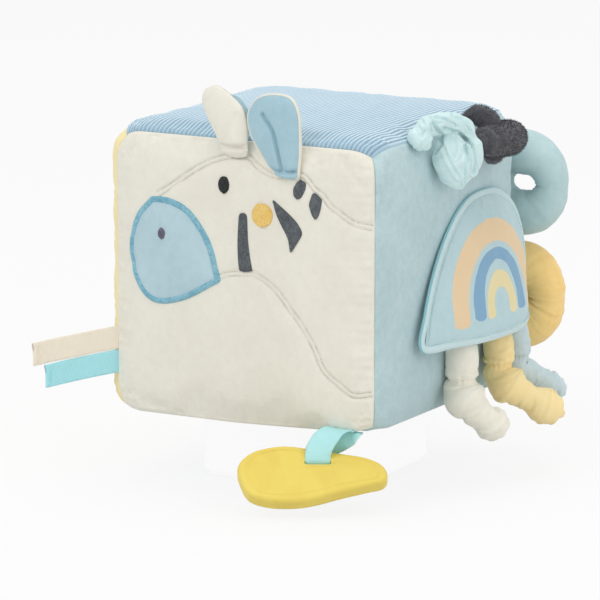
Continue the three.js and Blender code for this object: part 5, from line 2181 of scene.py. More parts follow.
@dataclass
class Flap:
    """The arched flap: printed front, crinkle film and backing in a satin binding."""

    wall: Panel
    place: float = 10.5 * MM
    top: float = 113 * MM
    width: float = 104 * MM
    height: float = 71 * MM
    lean: float = 17 * MM
    stand_off: float = 22 * MM
    side_stand_off: float = 7 * MM
    twist: float = 3 * MM
    arch_power: float = 2.3
    bulge_power: float = 2.6
    swell_power: float = 0.75
    inset: float = 2.4 * MM
    binding_radius: float = 2.1 * MM
    thickness: float = 3.4 * MM
    end_draw: float = 6.0 * MM
    start_draw: float = 3.5 * MM
    end_lift: float = 4.0 * MM
    hem_lift: float = 2.5 * MM
    row_shares: tuple = (0.015, 0.07, 0.17, 0.32, 0.52, 0.76, 1)
    column_shares: tuple = (-0.72, -0.4, 0, 0.4, 0.72)

    def point(self, across: Points, down: Points, depth: Points | float, inset: float = 0.0) -> Points:
        """Gives points of the flap, as the CAD source does, with its hem and ends drawn in.

        Args:
            across: From -1 to 1.
            down: From 0 at its top to 1.
            depth: Out from its inner face.
            inset: How far in from its edge.

        Returns:
            Points in the frame.
        """
        half = self.width / 2 * (1 - (1 - down) ** self.arch_power) ** (1 / self.arch_power)
        half = np.maximum(half - inset, inset)
        bulge = (self.stand_off - self.side_stand_off) * (1 - np.abs(across) ** self.bulge_power)
        out = down**self.swell_power * (self.side_stand_off + bulge + self.twist * across)
        drop = np.minimum(down * self.height + inset * (1 - down), self.height - inset)
        end, start = (np.clip((side - 0.15) / 0.85, 0, 1) ** 1.5 for side in (across, -across))
        drawn = (self.end_draw * end + self.start_draw * start) * np.clip(down * 1.8 - 0.3, 0, 1)
        cloth = self.wall.out_at(0.5 + self.place / (2 * HALF), (self.top - SEAM_Z) / (2 * HALF_TALL))
        x = cloth + CLEARANCE + self.binding_radius - self.thickness / 2 + out + depth
        y = self.place + self.lean * (1 - down) + across * half - drawn
        z = self.top - drop + self.end_lift * end * down**2 + self.hem_lift * down**3
        return np.stack(np.broadcast_arrays(x, y, z), axis=-1)

    def round_edge(self, rows: Points, columns: Points, depth: float, inset: float = 0.0) -> Points:
        """Runs down the left side, along the hem and up the right side.

        Args:
            rows: Places down both sides.
            columns: Places along the hem.
            depth: Out from the inner face.
            inset: How far in from the edge.

        Returns:
            The path.
        """
        left, right = (self.point(np.full(len(rows), side), rows, depth, inset) for side in (-1.0, 1.0))
        return np.concatenate([left, self.point(columns, np.ones(len(columns)), depth, inset), right[::-1]])

    def layer(
        self, low: float, high: float, puff: float, inset: float, wrinkle: Ripple | None
    ) -> tuple[Points, Points, Points]:
        """Makes the two faces of one layer.

        Args:
            low: The inner face's depth.
            high: The outer face's depth.
            puff: How much the layer rises in its middle.
            inset: How far in from the flap's edge it ends.
            wrinkle: A wobble for the outer face, or None.

        Returns:
            The outer grid, the inner grid and the outer grid's cloth coordinates.
        """
        steady = np.linspace(-1, 1, 101)
        places = 0.5 * np.sin(steady * np.pi / 2) + 0.5 * steady, 0.009 + 0.991 * np.linspace(0, 1, 90) ** 1.7
        across, down = np.meshgrid(*places, indexing="ij")
        edge = (1 - np.abs(across) ** 6) * (1 - (2 * np.clip(down, 0, 1) - 1) ** 10)
        depth = low + (high - low) * (0.55 + 0.45 * edge) + puff * edge
        if wrinkle is not None:
            fade = np.exp(-(1 - np.abs(across)) / 0.12) + np.exp(-(1 - down) / 0.08)
            depth = depth + 0.25 * MM * wrinkle(down * 13 + 3 * np.sign(across)) * fade * edge
            depth = depth + 0.35 * MM * wrinkle(across * 2.2 + 1.3 * down) * edge
        outer, inner = (self.point(across, down, out, inset)[:, ::-1] for out in (depth, low))
        steps = np.linalg.norm(np.diff(outer, axis=0), axis=2)
        length = np.concatenate([np.zeros((1, outer.shape[1])), np.cumsum(steps, axis=0)])
        return outer, inner, np.stack([length - length[50], outer[..., 2]], axis=-1)

    def binding(self, shop: Workshop) -> Piece:
        """Makes the satin binding round the edge.

        Args:
            shop: The workshop.

        Returns:
            The binding.
        """
        corners = self.round_edge(np.array(self.row_shares), np.array(self.column_shares), self.thickness / 2)
        path = evenly(smooth_path(corners, True), 420, closed=True)
        along = along_loop(path)
        side = unit(np.cross(along, (1.0, 0.0, 0.0)))
        turn = round_turns(24)
        distance = np.arange(len(path)) * np.linalg.norm(path[1] - path[0])
        gathers = 0.035 * Ripple(21)(distance / (3.2 * MM))[:, None] * (0.6 + 0.4 * np.cos(2 * turn))
        reach = self.binding_radius * (1 + gathers)
        points = path[:, None] + side[:, None] * (np.cos(turn) * reach)[..., None]
        points = points + np.cross(side, along)[:, None] * (np.sin(turn) * 0.76 * reach)[..., None]
        uv = np.stack(np.broadcast_arrays(turn * self.binding_radius, distance[:, None]), axis=-1)
        return ring_piece("flap_satin_edge", points, shop.finishes.binding, uv)

    def seam(self, shop: Workshop) -> Piece:
        """Sews the running stitch that holds the binding.

        Args:
            shop: The workshop.

        Returns:
            The stitches.
        """
        spans = np.linspace(0.03, 0.985, 60), np.linspace(-0.97, 0.97, 40)
        path = self.round_edge(*spans, 3.75 * MM, self.inset - 0.75 * MM)
        lifts = np.broadcast_to([1.0, 0.0, 0.0], path.shape)
        sizes = {"Thread_Radius": 0.16 * MM, "Arch": 0.2 * MM}
        return shop.stitches.run("flap_seam", path, lifts, 2.2 * MM, 0.75, shop.finishes.aqua_thread, **sizes)

    def build(self, shop: Workshop) -> None:
        """Makes and dresses the flap.

        Args:
            shop: The workshop.
        """
        looks = shop.finishes
        rows = {
            "flap_front": (2.2 * MM, 3.1 * MM, 0.9 * MM, 0.8 * MM, Ripple(5), looks.flap_print, "blue_velour"),
            "flap_film": (1.5 * MM, 1.9 * MM, 0.0, self.inset, Ripple(9), looks.film, "crinkle_film"),
            "flap_backing": (0.1 * MM, 1.2 * MM, 0.0, self.inset, None, looks.backing, "aqua_ribbon"),
        }
        edge = self.binding(shop)
        hand_over(edge, "flap", ["flap_binding"], "satin_thread")
        seam = self.seam(shop)
        hand_over(seam, "flap")
        for node, (low, high, puff, inset, wrinkle, finish, slot) in rows.items():
            outer, inner, uv = self.layer(low, high, puff, inset, wrinkle)
            piece = closed_shell(node + "_cloth", outer, inner, finish, uv)
            hand_over(piece, "flap", [node], slot)
            widths = uv[-1, :, 0] - uv[0, :, 0]
            steps = np.linalg.norm(np.diff(outer[50], axis=0), axis=1)
            widest, tall, area = float(widths.max()), float(steps.sum()), float((widths[:-1] * steps).sum())
            LOG.info("%s: cut %.0f x %.0f mm, %.0f mm2", node, widest / MM, tall / MM, area / MM**2)


# Tails under the flap


@dataclass
class Tail:
    """A stuffed tail that bends at its cuff crease."""

    wall: Panel
    name: str
    finish: Material
    slot: str
    place_share: float
    size_share: float
    path_shares: tuple
    swell_shares: tuple
    grooves: tuple
    lean: tuple[float, float]
    root: float = 52 * MM
    crease: float = 22 * MM
    length: float = 50 * MM
    radius: float = 8.7 * MM
    lean_reach: float = 18 * MM
    blend_reach: float = 3.5 * MM
    upper_swell: tuple = ((0, 0.5), (0.08, 0.8), (0.3, 0.97), (0.9, 0.98), (1, 0.88))

    def relief(self, cuff: float, whole: float, distance: Points, turn: Points) -> Points:
        """Gives the pleats at the cuff, the strewn folds and the tail's own grooves.

        Args:
            cuff: The distance of the cuff from the upper end.
            whole: The tail's length.
            distance: Distances along the tail.
            turn: Turns round it.

        Returns:
            Changes of radius.
        """
        radius = self.radius * self.size_share
        gathers, wander = Ripple(31 + len(self.name)), Ripple(17 + len(self.slot))
        strewn = Folds(5 + len(self.name), 34, cuff - 12 * MM, whole - 3 * MM)
        pleats = 0.045 * gathers(turn * 1.9 + 0 * distance) * bell((distance - cuff) / (3.4 * MM))
        nip = -0.12 * bell((distance - cuff) / (0.8 * MM))
        total = pleats + nip + 0.025 * wander(distance / (14 * MM) + turn * 0 + np.cos(turn))
        total = total + strewn.at(distance, turn) / radius
        for at, middle, reach, slope, depth, width in self.grooves:
            off = swing(turn, middle)
            line = (distance - at * MM - slope * MM * off) / (width * MM)
            total = total - depth * bell(line) * bell(off / reach)
        return radius * total

    def build(self, shop: Workshop) -> None:
        """Makes and dresses the tail.

        Args:
            shop: The workshop.
        """
        radius = self.radius * self.size_share
        cloth = self.wall.out_at(0.5 + self.place_share, (self.root - SEAM_Z) / (2 * HALF_TALL))
        hang = np.array([cloth + CLEARANCE + radius, self.place_share * 2 * HALF, 0.0])
        bend, foot = (self.root + self.crease) / 2, self.crease + CLEARANCE
        upper = evenly(smooth_path([(-radius / 2, 0, self.root), (0, 0, bend), (0, 0, foot)]), 44)
        given = np.array(self.path_shares) * self.length + np.array([0, 0, self.crease])
        lower = evenly(smooth_path(given), 76)[1:]
        stations = hang + np.concatenate([upper, lower])
        from_cuff = (stations[:, 2] - self.crease) / self.lean_reach
        stations += bell(from_cuff)[:, None] * np.array([*self.lean, 0.0])
        tables = (self.upper_swell, 44), (self.swell_shares, 76)
        swells = [read_table(table, np.linspace(0, 1, count)) for table, count in tables]
        cuff = path_length(upper)
        relief = partial(self.relief, cuff, cuff + path_length(lower))
        tube = Tube(stations, radius * np.concatenate([swells[0], swells[1][1:]]), 72, relief).build()
        piece = face_outwards(make_piece(f"{self.name}_tail", *tube, self.finish))
        start, end = ((*hang[:2].tolist(), self.crease + away) for away in (self.blend_reach, -self.blend_reach))
        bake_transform(piece)
        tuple(start)
        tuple(end)
        nodes = [f"tail_{self.name}_upper", f"tail_{self.name}_lower"]
        hand_over(piece, "", nodes, self.slot)


# Stuffed rings at the back edge


@dataclass
class StuffedRing:
    """A fabric ring whose tube is drawn in at its seam."""

    front: Panel
    name: str
    finish: Material
    slot: str
    place_x: float
    height: float
    radius: float
    tube: float
    wrinkles: float
    draw_turn: float = -0.06
    draw_share: float = 0.05
    side_share: float = 0.24

    def reach(self, turn: Points) -> Points:
        """Gives the tube's radius round the ring."""
        drawn = self.draw_share * np.exp(-24 * swing(turn, self.draw_turn) ** 2)
        return self.tube * (1 - drawn) * (1 - self.side_share * np.cos(turn) ** 2)

    def seat(self) -> float:
        """Gives the ring's distance behind the cube's middle, as the CAD source does.

        Returns:
            The distance.
        """
        turn = round_turns(24)
        share_u = 0.5 + (self.place_x + np.cos(turn) * self.radius) / (2 * HALF)
        share_v = (self.height + np.sin(turn) * self.radius - SEAM_Z) / (2 * HALF_TALL)
        rise = self.front.rise(np.clip(share_u, 0, 1), np.clip(share_v, 0, 1))
        return float(HALF + (rise + self.reach(turn))[share_u < 1].max() + CLEARANCE)

    def build(self, shop: Workshop) -> None:
        """Makes and dresses the ring.

        Args:
            shop: The workshop.
        """
        turn, around = round_turns(240)[:, None], round_turns(96)[None, :]
        radial, broad = Ripple(41 + len(self.name)), Ripple(7 + len(self.slot))
        from_draw = swing(turn, self.draw_turn)
        near, inner = bell(from_draw / 0.75), 0.35 + 0.65 * np.clip(-np.cos(around), 0, 1)
        pleats = self.wrinkles * radial(turn * 3.6 + 0.5 * np.cos(around)) * (0.25 + near) * inner
        slow = 0.13 * MM * broad(np.sin(turn) * 1.5 + np.cos(turn - 0.7) + 0.8 * np.sin(around))
        nip = -0.05 * self.tube * bell(from_draw / 0.07) * bell((around - 1.25 * np.pi) / 0.9)
        reach = self.reach(turn) + pleats + slow + nip
        out = self.radius + reach * np.cos(around)
        middle = np.array([self.place_x, self.seat(), self.height])
        points = middle + np.stack([np.cos(turn) * out, reach * np.sin(around), np.sin(turn) * out], axis=-1)
        piece = ring_piece(self.name + "_stuffed", points, self.finish)
        hand_over(piece, self.name, ["ring_" + self.name.split("_")[0]], self.slot)


# Knotted toggles in the top seam


@dataclass
class Knot:
    """A toggle tied from a stuffed tube: a band over the top and a knob below it."""

    name: str
    finish: Material
    slot: str
    place_share: float
    root_shares: tuple
    knob_shares: tuple
    knob_swell: tuple
    creases: tuple[Crease, ...]
    folds: tuple[float, ...]
    extra_parts: tuple = ()
    pile_length: float = 0.0
    seed: int = 3
    fold_count: int = 7
    seat_x: float = 78.8 * MM
    seat_z: float = 152.3 * MM
    span: float = 30 * MM
    radius: float = 5.6 * MM
    root_swell: tuple = ((0, 0.2), (0.14, 0.65), (0.25, 0.95), (0.5, 0.95), (0.85, 0.9), (1, 0.45))

    def relief(self, number: int, whole: float, distance: Points, turn: Points) -> Points:
        """Gives the twisted valleys and the strewn folds of one part.

        Args:
            number: The part's number.
            whole: Its length.
            distance: Distances along it.
            turn: Turns round it.

        Returns:
            Changes of radius.
        """
        folds = self.folds[number]
        twist = turn * 2.5 + 2.2 * distance / (20 * MM) + 0.8 * np.sin(turn)
        fade = 0.35 + 0.65 * np.cos(np.pi * distance / whole) ** 2
        strewn = Folds(number * 7 + self.seed, self.fold_count, 0.1 * whole, 0.9 * whole).at(distance, turn)
        wobble = Ripple(51 + number + len(self.name))(turn / 1.1 + distance / (30 * MM))
        return strewn - folds * bell(np.sin(twist) / 0.24) * fade + 0.3 * folds * wobble

    def build(self, shop: Workshop) -> None:
        """Makes and dresses the toggle.

        Args:
            shop: The workshop.
        """
        base = np.array([self.seat_x, self.place_share * 2 * HALF, self.seat_z])
        rows = ((self.root_shares, self.root_swell), (self.knob_shares, self.knob_swell), *self.extra_parts)
        parts = []
        for number, (shares, swell) in enumerate(rows):
            stations = base + evenly(smooth_path(np.array(shares) * self.span), 60)
            relief = partial(self.relief, number, path_length(stations))
            radii = self.radius * read_table(swell, np.linspace(0, 1, 60))
            parts.append(Tube(stations, radii, 96, relief).build())
        piece = soft_body(f"{self.name}_toggle", parts, self.finish, 0.42 * MM)
        if self.creases:
            press_from(piece, base, self.creases)
            axes = {f"use_axis_{axis}": True for axis in "xyz"}
            reworked(piece.data, lambda work: bmesh.ops.smooth_vert(work, verts=work.verts, factor=0.5, **axes))
        if self.pile_length:
            piece = shop.pile.raised(piece, self.pile_length)
        hand_over(piece, self.name, ["knot_" + self.name.split("_")[0]], self.slot)


# Ribbon tags, loop and teether


@dataclass
class RibbonTag:
    """A folded ribbon sewn into the left front seam."""

    name: str
    node: str
    finish: Material
    slot: str
    height: float
    length: float
    droop: float
    width: float = 12 * MM
    thickness: float = 1 * MM
    ribbon: float = 0.42 * MM

    def build(self, shop: Workshop) -> None:
        """Makes and dresses the tag.

        Args:
            shop: The workshop.
        """
        heading, side = unit(np.array([[-1.0, -1.0, 0.0], [1.0, -1.0, 0.0]]))
        share = np.linspace(-0.05, 1, 40)
        on_tag = np.clip(share, 0, 1)
        gap = (self.thickness * 0.5 - 0.22 * MM) * (0.75 + 0.25 * np.cos(share * 9))
        line = np.array([-HALF, -HALF, self.height]) + np.outer(0.3 * MM + share * (self.length - 0.5 * MM), heading)
        line[:, 2] -= self.droop * on_tag**1.12
        line += np.outer(0.5 * MM * Ripple(len(self.name) + 3)(share * 1.6) * on_tag, side)
        turn = np.linspace(0, np.pi, 9)[1:-1]
        tip = line[-1] + np.outer(np.cos(turn) * gap[-1], side) + np.outer(np.sin(turn) * gap[-1], heading)
        path = np.concatenate([line + side * gap[:, None], tip, (line - side * gap[:, None])[::-1]])
        across = np.broadcast_to([0.0, 0.0, 1.0], path.shape)
        piece = Strip(path, across, self.width, self.ribbon).build(self.name + "_ribbon", self.finish)
        rows = line[-1] - heading * 2.2 * MM + side * 0.62 * MM
        rows = rows + np.outer(np.linspace(-0.42, 0.42, 20), [0, 0, self.width])
        lifts, sizes = np.broadcast_to(side, rows.shape), {"Thread_Radius": 0.14 * MM, "Arch": 0.15 * MM}
        seam = shop.stitches.run(self.name + "_seam", rows, lifts, 1.6 * MM, 0.8, self.finish, **sizes)
        hand_over(piece, self.name, [self.node], self.slot)
        hand_over(seam, self.name, (), self.slot)
        flat = (self.width, path_length(path))


@dataclass
class TeetherLoop:
    """The teether's place, its ribbon loop and the silicone pebble."""

    root: tuple = (60 * MM, -75.53 * MM, 2.97 * MM)
    slot_place: tuple = (49.9 * MM, -88.43 * MM, -12.23 * MM)
    root_lift: float = 1.5 * MM
    root_spread: float = 2.0 * MM
    leaving: tuple = (-0.3, -0.9, 0.45)
    tucked: tuple = (0.0, 0.8 * MM, 0.2 * MM)
    yaw: float = math.radians(29)
    lean: float = math.radians(42)
    slot_height: float = 5 * MM
    slot_seen: float = 2.6 * MM
    slot_length_seen: float = 13.4 * MM
    slot_drop: float = 0.2 * MM
    bar: float = 6.6 * MM
    width: float = 73 * MM
    thickness: float = 9 * MM
    edge: float = 2.1 * MM
    slot_edge: float = 0.8 * MM
    step: float = 0.8 * MM
    ribbon_width: float = 13 * MM
    ribbon_thickness: float = 0.9 * MM
    outline: tuple = (
        (-0.556, -0.07), (-0.548, -0.02), (-0.52, 0.028), (-0.45, 0.086), (-0.333, 0.124), (-0.231, 0.137),
        (-0.08, 0.12), (0.188, 0.069), (0.36, 0.027), (0.45, -0.03), (0.482, -0.105), (0.456, -0.158),
        (0.36, -0.188), (0.143, -0.251), (-0.03, -0.305), (-0.16, -0.326), (-0.333, -0.32), (-0.452, -0.282),
        (-0.5, -0.235), (-0.535, -0.15),
    )  # fmt: skip

    def axes(self) -> Points:
        """Gives the teether's directions across, up and out."""
        return np.array(Matrix.Rotation(self.yaw, 3, "Z") @ Matrix.Rotation(self.lean, 3, "X")).T

    def ribbon(self, shop: Workshop) -> tuple[Piece, float]:
        """Makes the ribbon that turns round the bar over the slot.

        Args:
            shop: The workshop.

        Returns:
            The ribbon and its length.
        """
        across, up, out = self.axes()
        root = np.array(self.root) + np.array([0.0, 0.0, self.root_lift])
        bar = np.array(self.slot_place) + up * (self.slot_height + self.bar) / 2
        radius = math.hypot(self.thickness / 2, self.bar / 2) + CLEARANCE + self.ribbon_thickness / 2
        root_up, root_out = float((root - bar) @ up), float((root - bar) @ out)
        turn_root, tangent = math.atan2(root_up, root_out), math.acos(radius / math.hypot(root_up, root_out))
        turns = np.linspace(turn_root - tangent, turn_root + tangent - 2 * math.pi, 40)[4:]
        arc = bar + np.outer(np.cos(turns) * radius, out) + np.outer(np.sin(turns) * radius, up)
        at_seam = np.array([1.0, 0.0, 0.0])
        shift = np.array([0.0, -1.0, 1.0]) / math.sqrt(2) * (self.ribbon_thickness + CLEARANCE) / 2
        shift = shift - at_seam * self.root_spread
        share = np.linspace(0, 1, 26)[:, None]
        start = root + shift
        reach = float(np.linalg.norm(arc[0] - start))
        front = hermite(
            start, unit(np.array(self.leaving)) * reach * 1.2, arc[0], unit(arc[1] - arc[0]) * reach, share
        )
        back = arc[-1] + (root - shift - arc[-1]) * share
        path = np.concatenate([front, arc[1:-1], back])
        turning = at_seam + (across - at_seam) * share
        sides = np.concatenate([turning, np.broadcast_to(across, (len(arc) - 2, 3)), turning[::-1]])
        path = np.concatenate([[path[0] + self.tucked], path, [path[-1] + self.tucked]])
        sides = np.concatenate([sides[:1], sides, sides[-1:]])
        strip = Strip(path, sides, self.ribbon_width, self.ribbon_thickness)
        return strip.build("loop_ribbon", shop.finishes.loop_ribbon, 0.1 * MM), path_length(path)

    def pebble(self, shop: Workshop) -> Piece:
        """Makes the silicone teether, rounded at its edge and at its slot.

        Args:
            shop: The workshop.

        Returns:
            The teether.
        """
        drawn = smooth_path(np.array(self.outline) * self.width, True, 24)
        rim = averaged(turned_left(evenly(drawn, 260, closed=True)))
        half_line = (self.slot_length_seen - self.slot_seen) / 2
        nearest = np.stack([np.clip(rim[:, 0], -half_line, half_line), np.full(len(rim), -self.slot_drop)], axis=1)
        hole = nearest + unit(rim - nearest) * self.slot_seen / 2
        inwards, gap = unit(hole - rim), np.linalg.norm(hole - rim, axis=1)
        low, high, half = rim + inwards * self.edge, hole - inwards * self.slot_edge, self.thickness / 2
        upper = []
        for angle in np.linspace(0, math.pi / 2, 14):
            ring = rim + inwards * self.edge * (1 - math.cos(angle))
            upper.append(level(ring, half - self.edge * (1 - math.sin(angle))))
        for share in np.linspace(0, 1, 30)[1:-1]:
            inner = np.clip((share * (gap - self.edge - self.slot_edge) - 1.6 * MM) / (1.2 * MM), 0, 1)
            step = self.step * eased(inner) * np.clip(gap / (12 * MM) - 0.6, 0, 1)
            upper.append(level(low + (high - low) * share, half - step))
        for angle in np.linspace(math.pi / 2, 0, 8):
            ring = hole - inwards * self.slot_edge * (1 - math.cos(angle))
            upper.append(level(ring, half - self.slot_edge * (1 - math.sin(angle))))
        local = np.stack(upper + [ring * (1, 1, -1) for ring in upper[::-1]])
        points = np.array(self.slot_place) + local @ self.axes()
        return ring_piece("teether_pebble", points, shop.finishes.silicone)

    def build(self, shop: Workshop) -> None:
        """Makes and dresses the loop and the teether.

        Args:
            shop: The workshop.
        """
        ribbon, length = self.ribbon(shop)
        hand_over(ribbon, "loop", ["teether_loop"], "aqua_ribbon")
        hand_over(self.pebble(shop), "teether", ["teether"], "yellow_silicone")


# What the cube holds


@dataclass
class Inside:
    """The fibre filling and the rattle in it."""

    cover: Panel
    voxel: float = 4.5 * MM
    lowest: float = 4.4 * MM

    def build(self, shop: Workshop) -> None:
        """Makes lumpy filling and gives the rattle its plastics.

        Args:
            shop: The workshop.
        """
        for node in ("filling_upper", "filling_lower"):
            raw = linked(node + "_copy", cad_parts[node].data.copy())
            reworked(raw.data, lambda work: bmesh.ops.remove_doubles(work, verts=work.verts, dist=0.01 * MM))
            remesh = raw.modifiers.new("fibre", "REMESH")
            remesh.mode, remesh.voxel_size = "VOXEL", self.voxel
            piece = baked(node + "_fibre", raw, shop.finishes.filling)
            points, normals = skin_of(piece.data)
            lumps = Ripple(71)(points @ (31.0, 57.0, 43.0)) + Ripple(72)(points @ (-61.0, 29.0, 37.0))
            sunk = points - normals * (2.0 + 0.3 * lumps[:, None]) * MM
            sunk[:, 2] = np.maximum(sunk[:, 2], self.lowest)
            set_points(piece.data, self.cover.round_corners(sunk))
            piece.data.shade_smooth()
            hand_over(piece, "cube", [node], "fibre_filling")
        plastics = {f"rattle_cup_{half}": shop.finishes.white_plastic for half in ("lower", "upper")}
        plastics |= {f"rattle_bead_{k}": shop.finishes.red_plastic for k in range(1, 6)}
        for node, finish in plastics.items():
            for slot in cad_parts[node].material_slots:
                slot.material = finish


# Studio


@dataclass
class Studio:
    """Floor, plinth, lights, world and camera."""

    floor_z: float = -36 * MM
    plinth_half: float = 44 * MM
    plinth_top: float = -0.2 * MM
    azimuth: float = math.radians(29.086)
    elevation: float = math.radians(11.208)
    distance: float = 2.5
    lens_pixels: float = 4785.4
    photo_pixels: float = 600.0
    sensor: float = 36.0
    target_side: float = -8.375 * MM
    target_up: float = 53.234 * MM
    lit: tuple = (0.0, 0.0, 0.07)
    ambient: float = 0.66

    @staticmethod
    def pale(name: str, glow_share: float) -> Material:
        """Makes a pale matt finish, white where nothing shades it.

        Args:
            name: The material's name.
            glow_share: How much of it glows.

        Returns:
            The material.
        """
        material = bpy.data.materials.new(name)
        bench = blank(material)
        matt = bench.node("ShaderNodeBsdfDiffuse", {"Color": (0.8, 0.8, 0.8, 1.0)}).outputs[0]
        glow = bench.node("ShaderNodeEmission", {"Color": WHITE, "Strength": 1.0}).outputs[0]
        both = bench.node("ShaderNodeMixShader", {0: glow_share, 1: matt, 2: glow}).outputs[0]
        shown = bench.node("ShaderNodeMixShader", {0: bench.direct(), 1: matt, 2: both})
        bench.node("ShaderNodeOutputMaterial", {"Surface": shown.outputs[0]})
        return material

    @staticmethod
    def block(name: str, low: Sequence[float], high: Sequence[float], finish: Material, round_off: float = 0.0) -> None:
        """Adds a stage block.

        Args:
            name: The block's name.
            low: Its lowest corner.
            high: Its highest corner.
            finish: Its material.
            round_off: How far its edges are rounded.
        """
        work = bmesh.new()
        bmesh.ops.create_cube(work, size=1.0)
        for vertex in work.verts:
            vertex.co = [low[k] + (vertex.co[k] + 0.5) * (high[k] - low[k]) for k in range(3)]
        if round_off:
            bmesh.ops.bevel(work, geom=list(work.edges), offset=round_off, segments=4, affect="EDGES")
        mesh = bpy.data.meshes.new(name)
        work.to_mesh(mesh)
        work.free()
        mesh.materials.append(finish)
        linked(name, mesh)

    def light(self, name: str, place: Sequence[float], size: float, watts: float) -> None:
        """Adds a soft square lamp that looks at the cube.

        Args:
            name: The lamp's name.
            place: Where it stands.
            size: Its width.
            watts: Its power.
        """
        lamp = bpy.data.lights.new(name, "AREA")
        lamp.shape, lamp.size, lamp.energy = "SQUARE", size, watts
        made = linked(name, lamp)
        made.location = place
        made.rotation_euler = (Vector(self.lit) - Vector(place)).to_track_quat("-Z", "Y").to_euler()

    def world(self) -> None:
        """Makes the white surroundings."""
        world = bpy.data.worlds.new("studio")
        bench = blank(world)
        strength = bench.math("MULTIPLY_ADD", bench.direct(), 1.0 - self.ambient, self.ambient)
        back = bench.node("ShaderNodeBackground", {"Color": WHITE, "Strength": strength})
        bench.node("ShaderNodeOutputWorld", {"Surface": back.outputs[0]})
        bpy.context.scene.world = world

    def camera(self) -> None:
        """Places the camera at the photograph's angle."""
        sin_a, cos_a = math.sin(self.azimuth), math.cos(self.azimuth)
        sin_e, cos_e = math.sin(self.elevation), math.cos(self.elevation)
        back, right = Vector((sin_a * cos_e, -cos_a * cos_e, sin_e)), Vector((cos_a, sin_a, 0.0))
        lens = bpy.data.cameras.new("camera")
        lens.sensor_width = self.sensor
        lens.lens = self.lens_pixels / self.photo_pixels * self.sensor
        lens.clip_start, lens.clip_end = 0.1, 20.0
        made = linked("camera", lens)
        made.matrix_world = Matrix((right, back.cross(right), back)).transposed().to_4x4()
        made.location = right * self.target_side + Vector((0.0, 0.0, self.target_up)) + back * self.distance
        bpy.context.scene.camera = made

    def build(self) -> None:
        """Sets up the whole studio."""
        wide, half, low = 2.5, self.plinth_half, self.floor_z
        floor, plinth = self.pale("studio_floor", 0.86), self.pale("studio_plinth", 0.91)
        self.block("floor", (-wide, -wide, low - 0.02), (wide, wide, low), floor)
        self.block("plinth", (-half, -half, low), (half, half, self.plinth_top), plinth, 3 * MM)
        self.light("key", (-0.55, -1.35, 1.35), 0.9, 8.5)
        self.light("fill", (1.5, -0.55, 0.75), 1.1, 5.5)
        self.light("top", (0.1, 0.35, 1.7), 1.0, 6.5)
        self.world()
        self.camera()
        bpy.context.scene.view_settings.view_transform = "Standard"


def ears(front: Panel) -> list[Ear]:
    """Lays out both ears.

    Args:
        front: The panel that they are sewn to.

    Returns:
        The left and the right one.
    """
    left = (
        (-0.1, 0), (-0.2, 0.2), (-0.31, 0.4), (-0.39, 0.58), (-0.35, 0.74), (-0.2, 0.79),
        (-0.02, 0.7), (0.14, 0.56), (0.2, 0.36), (0.2, 0.16), (0.17, 0),
    )  # fmt: skip
    left_creases = creases(
        (((-8, 4.4), (0, 4.2), (9, 4.8)), 3.4, 1.3),
        (((-4, 6), (0, 12), (3, 20)), 0.8, 2.4),
    )
    right = (
        (-0.1, 0.04), (-0.3, 0.28), (-0.44, 0.5), (-0.47, 0.7), (-0.38, 0.88), (-0.2, 0.97),
        (0.1, 0.95), (0.2, 0.8), (0.23, 0.5), (0.22, 0.2), (0.17, 0),
    )  # fmt: skip
    right_creases = creases(
        (((-10.3, 32.4), (-4.5, 25), (-1.7, 15.6), (0.3, 5.5)), 2.6, 1.1),
        (((-5.5, 4.4), (3.5, 4), (10.5, 5)), 3.2, 0.8),
        (((-3, 1.8), (2, 1.6), (6.5, 1.8)), -1.9, 1.7),
    )
    return [
        Ear(front, "ear_left", left, -4 * MM, 65.3 * MM, 0.3 * MM, False, left_creases, 1.6 * MM),
        Ear(front, "ear_right", right, 26.2 * MM, 55.7 * MM, 1 * MM, True, right_creases),
    ]


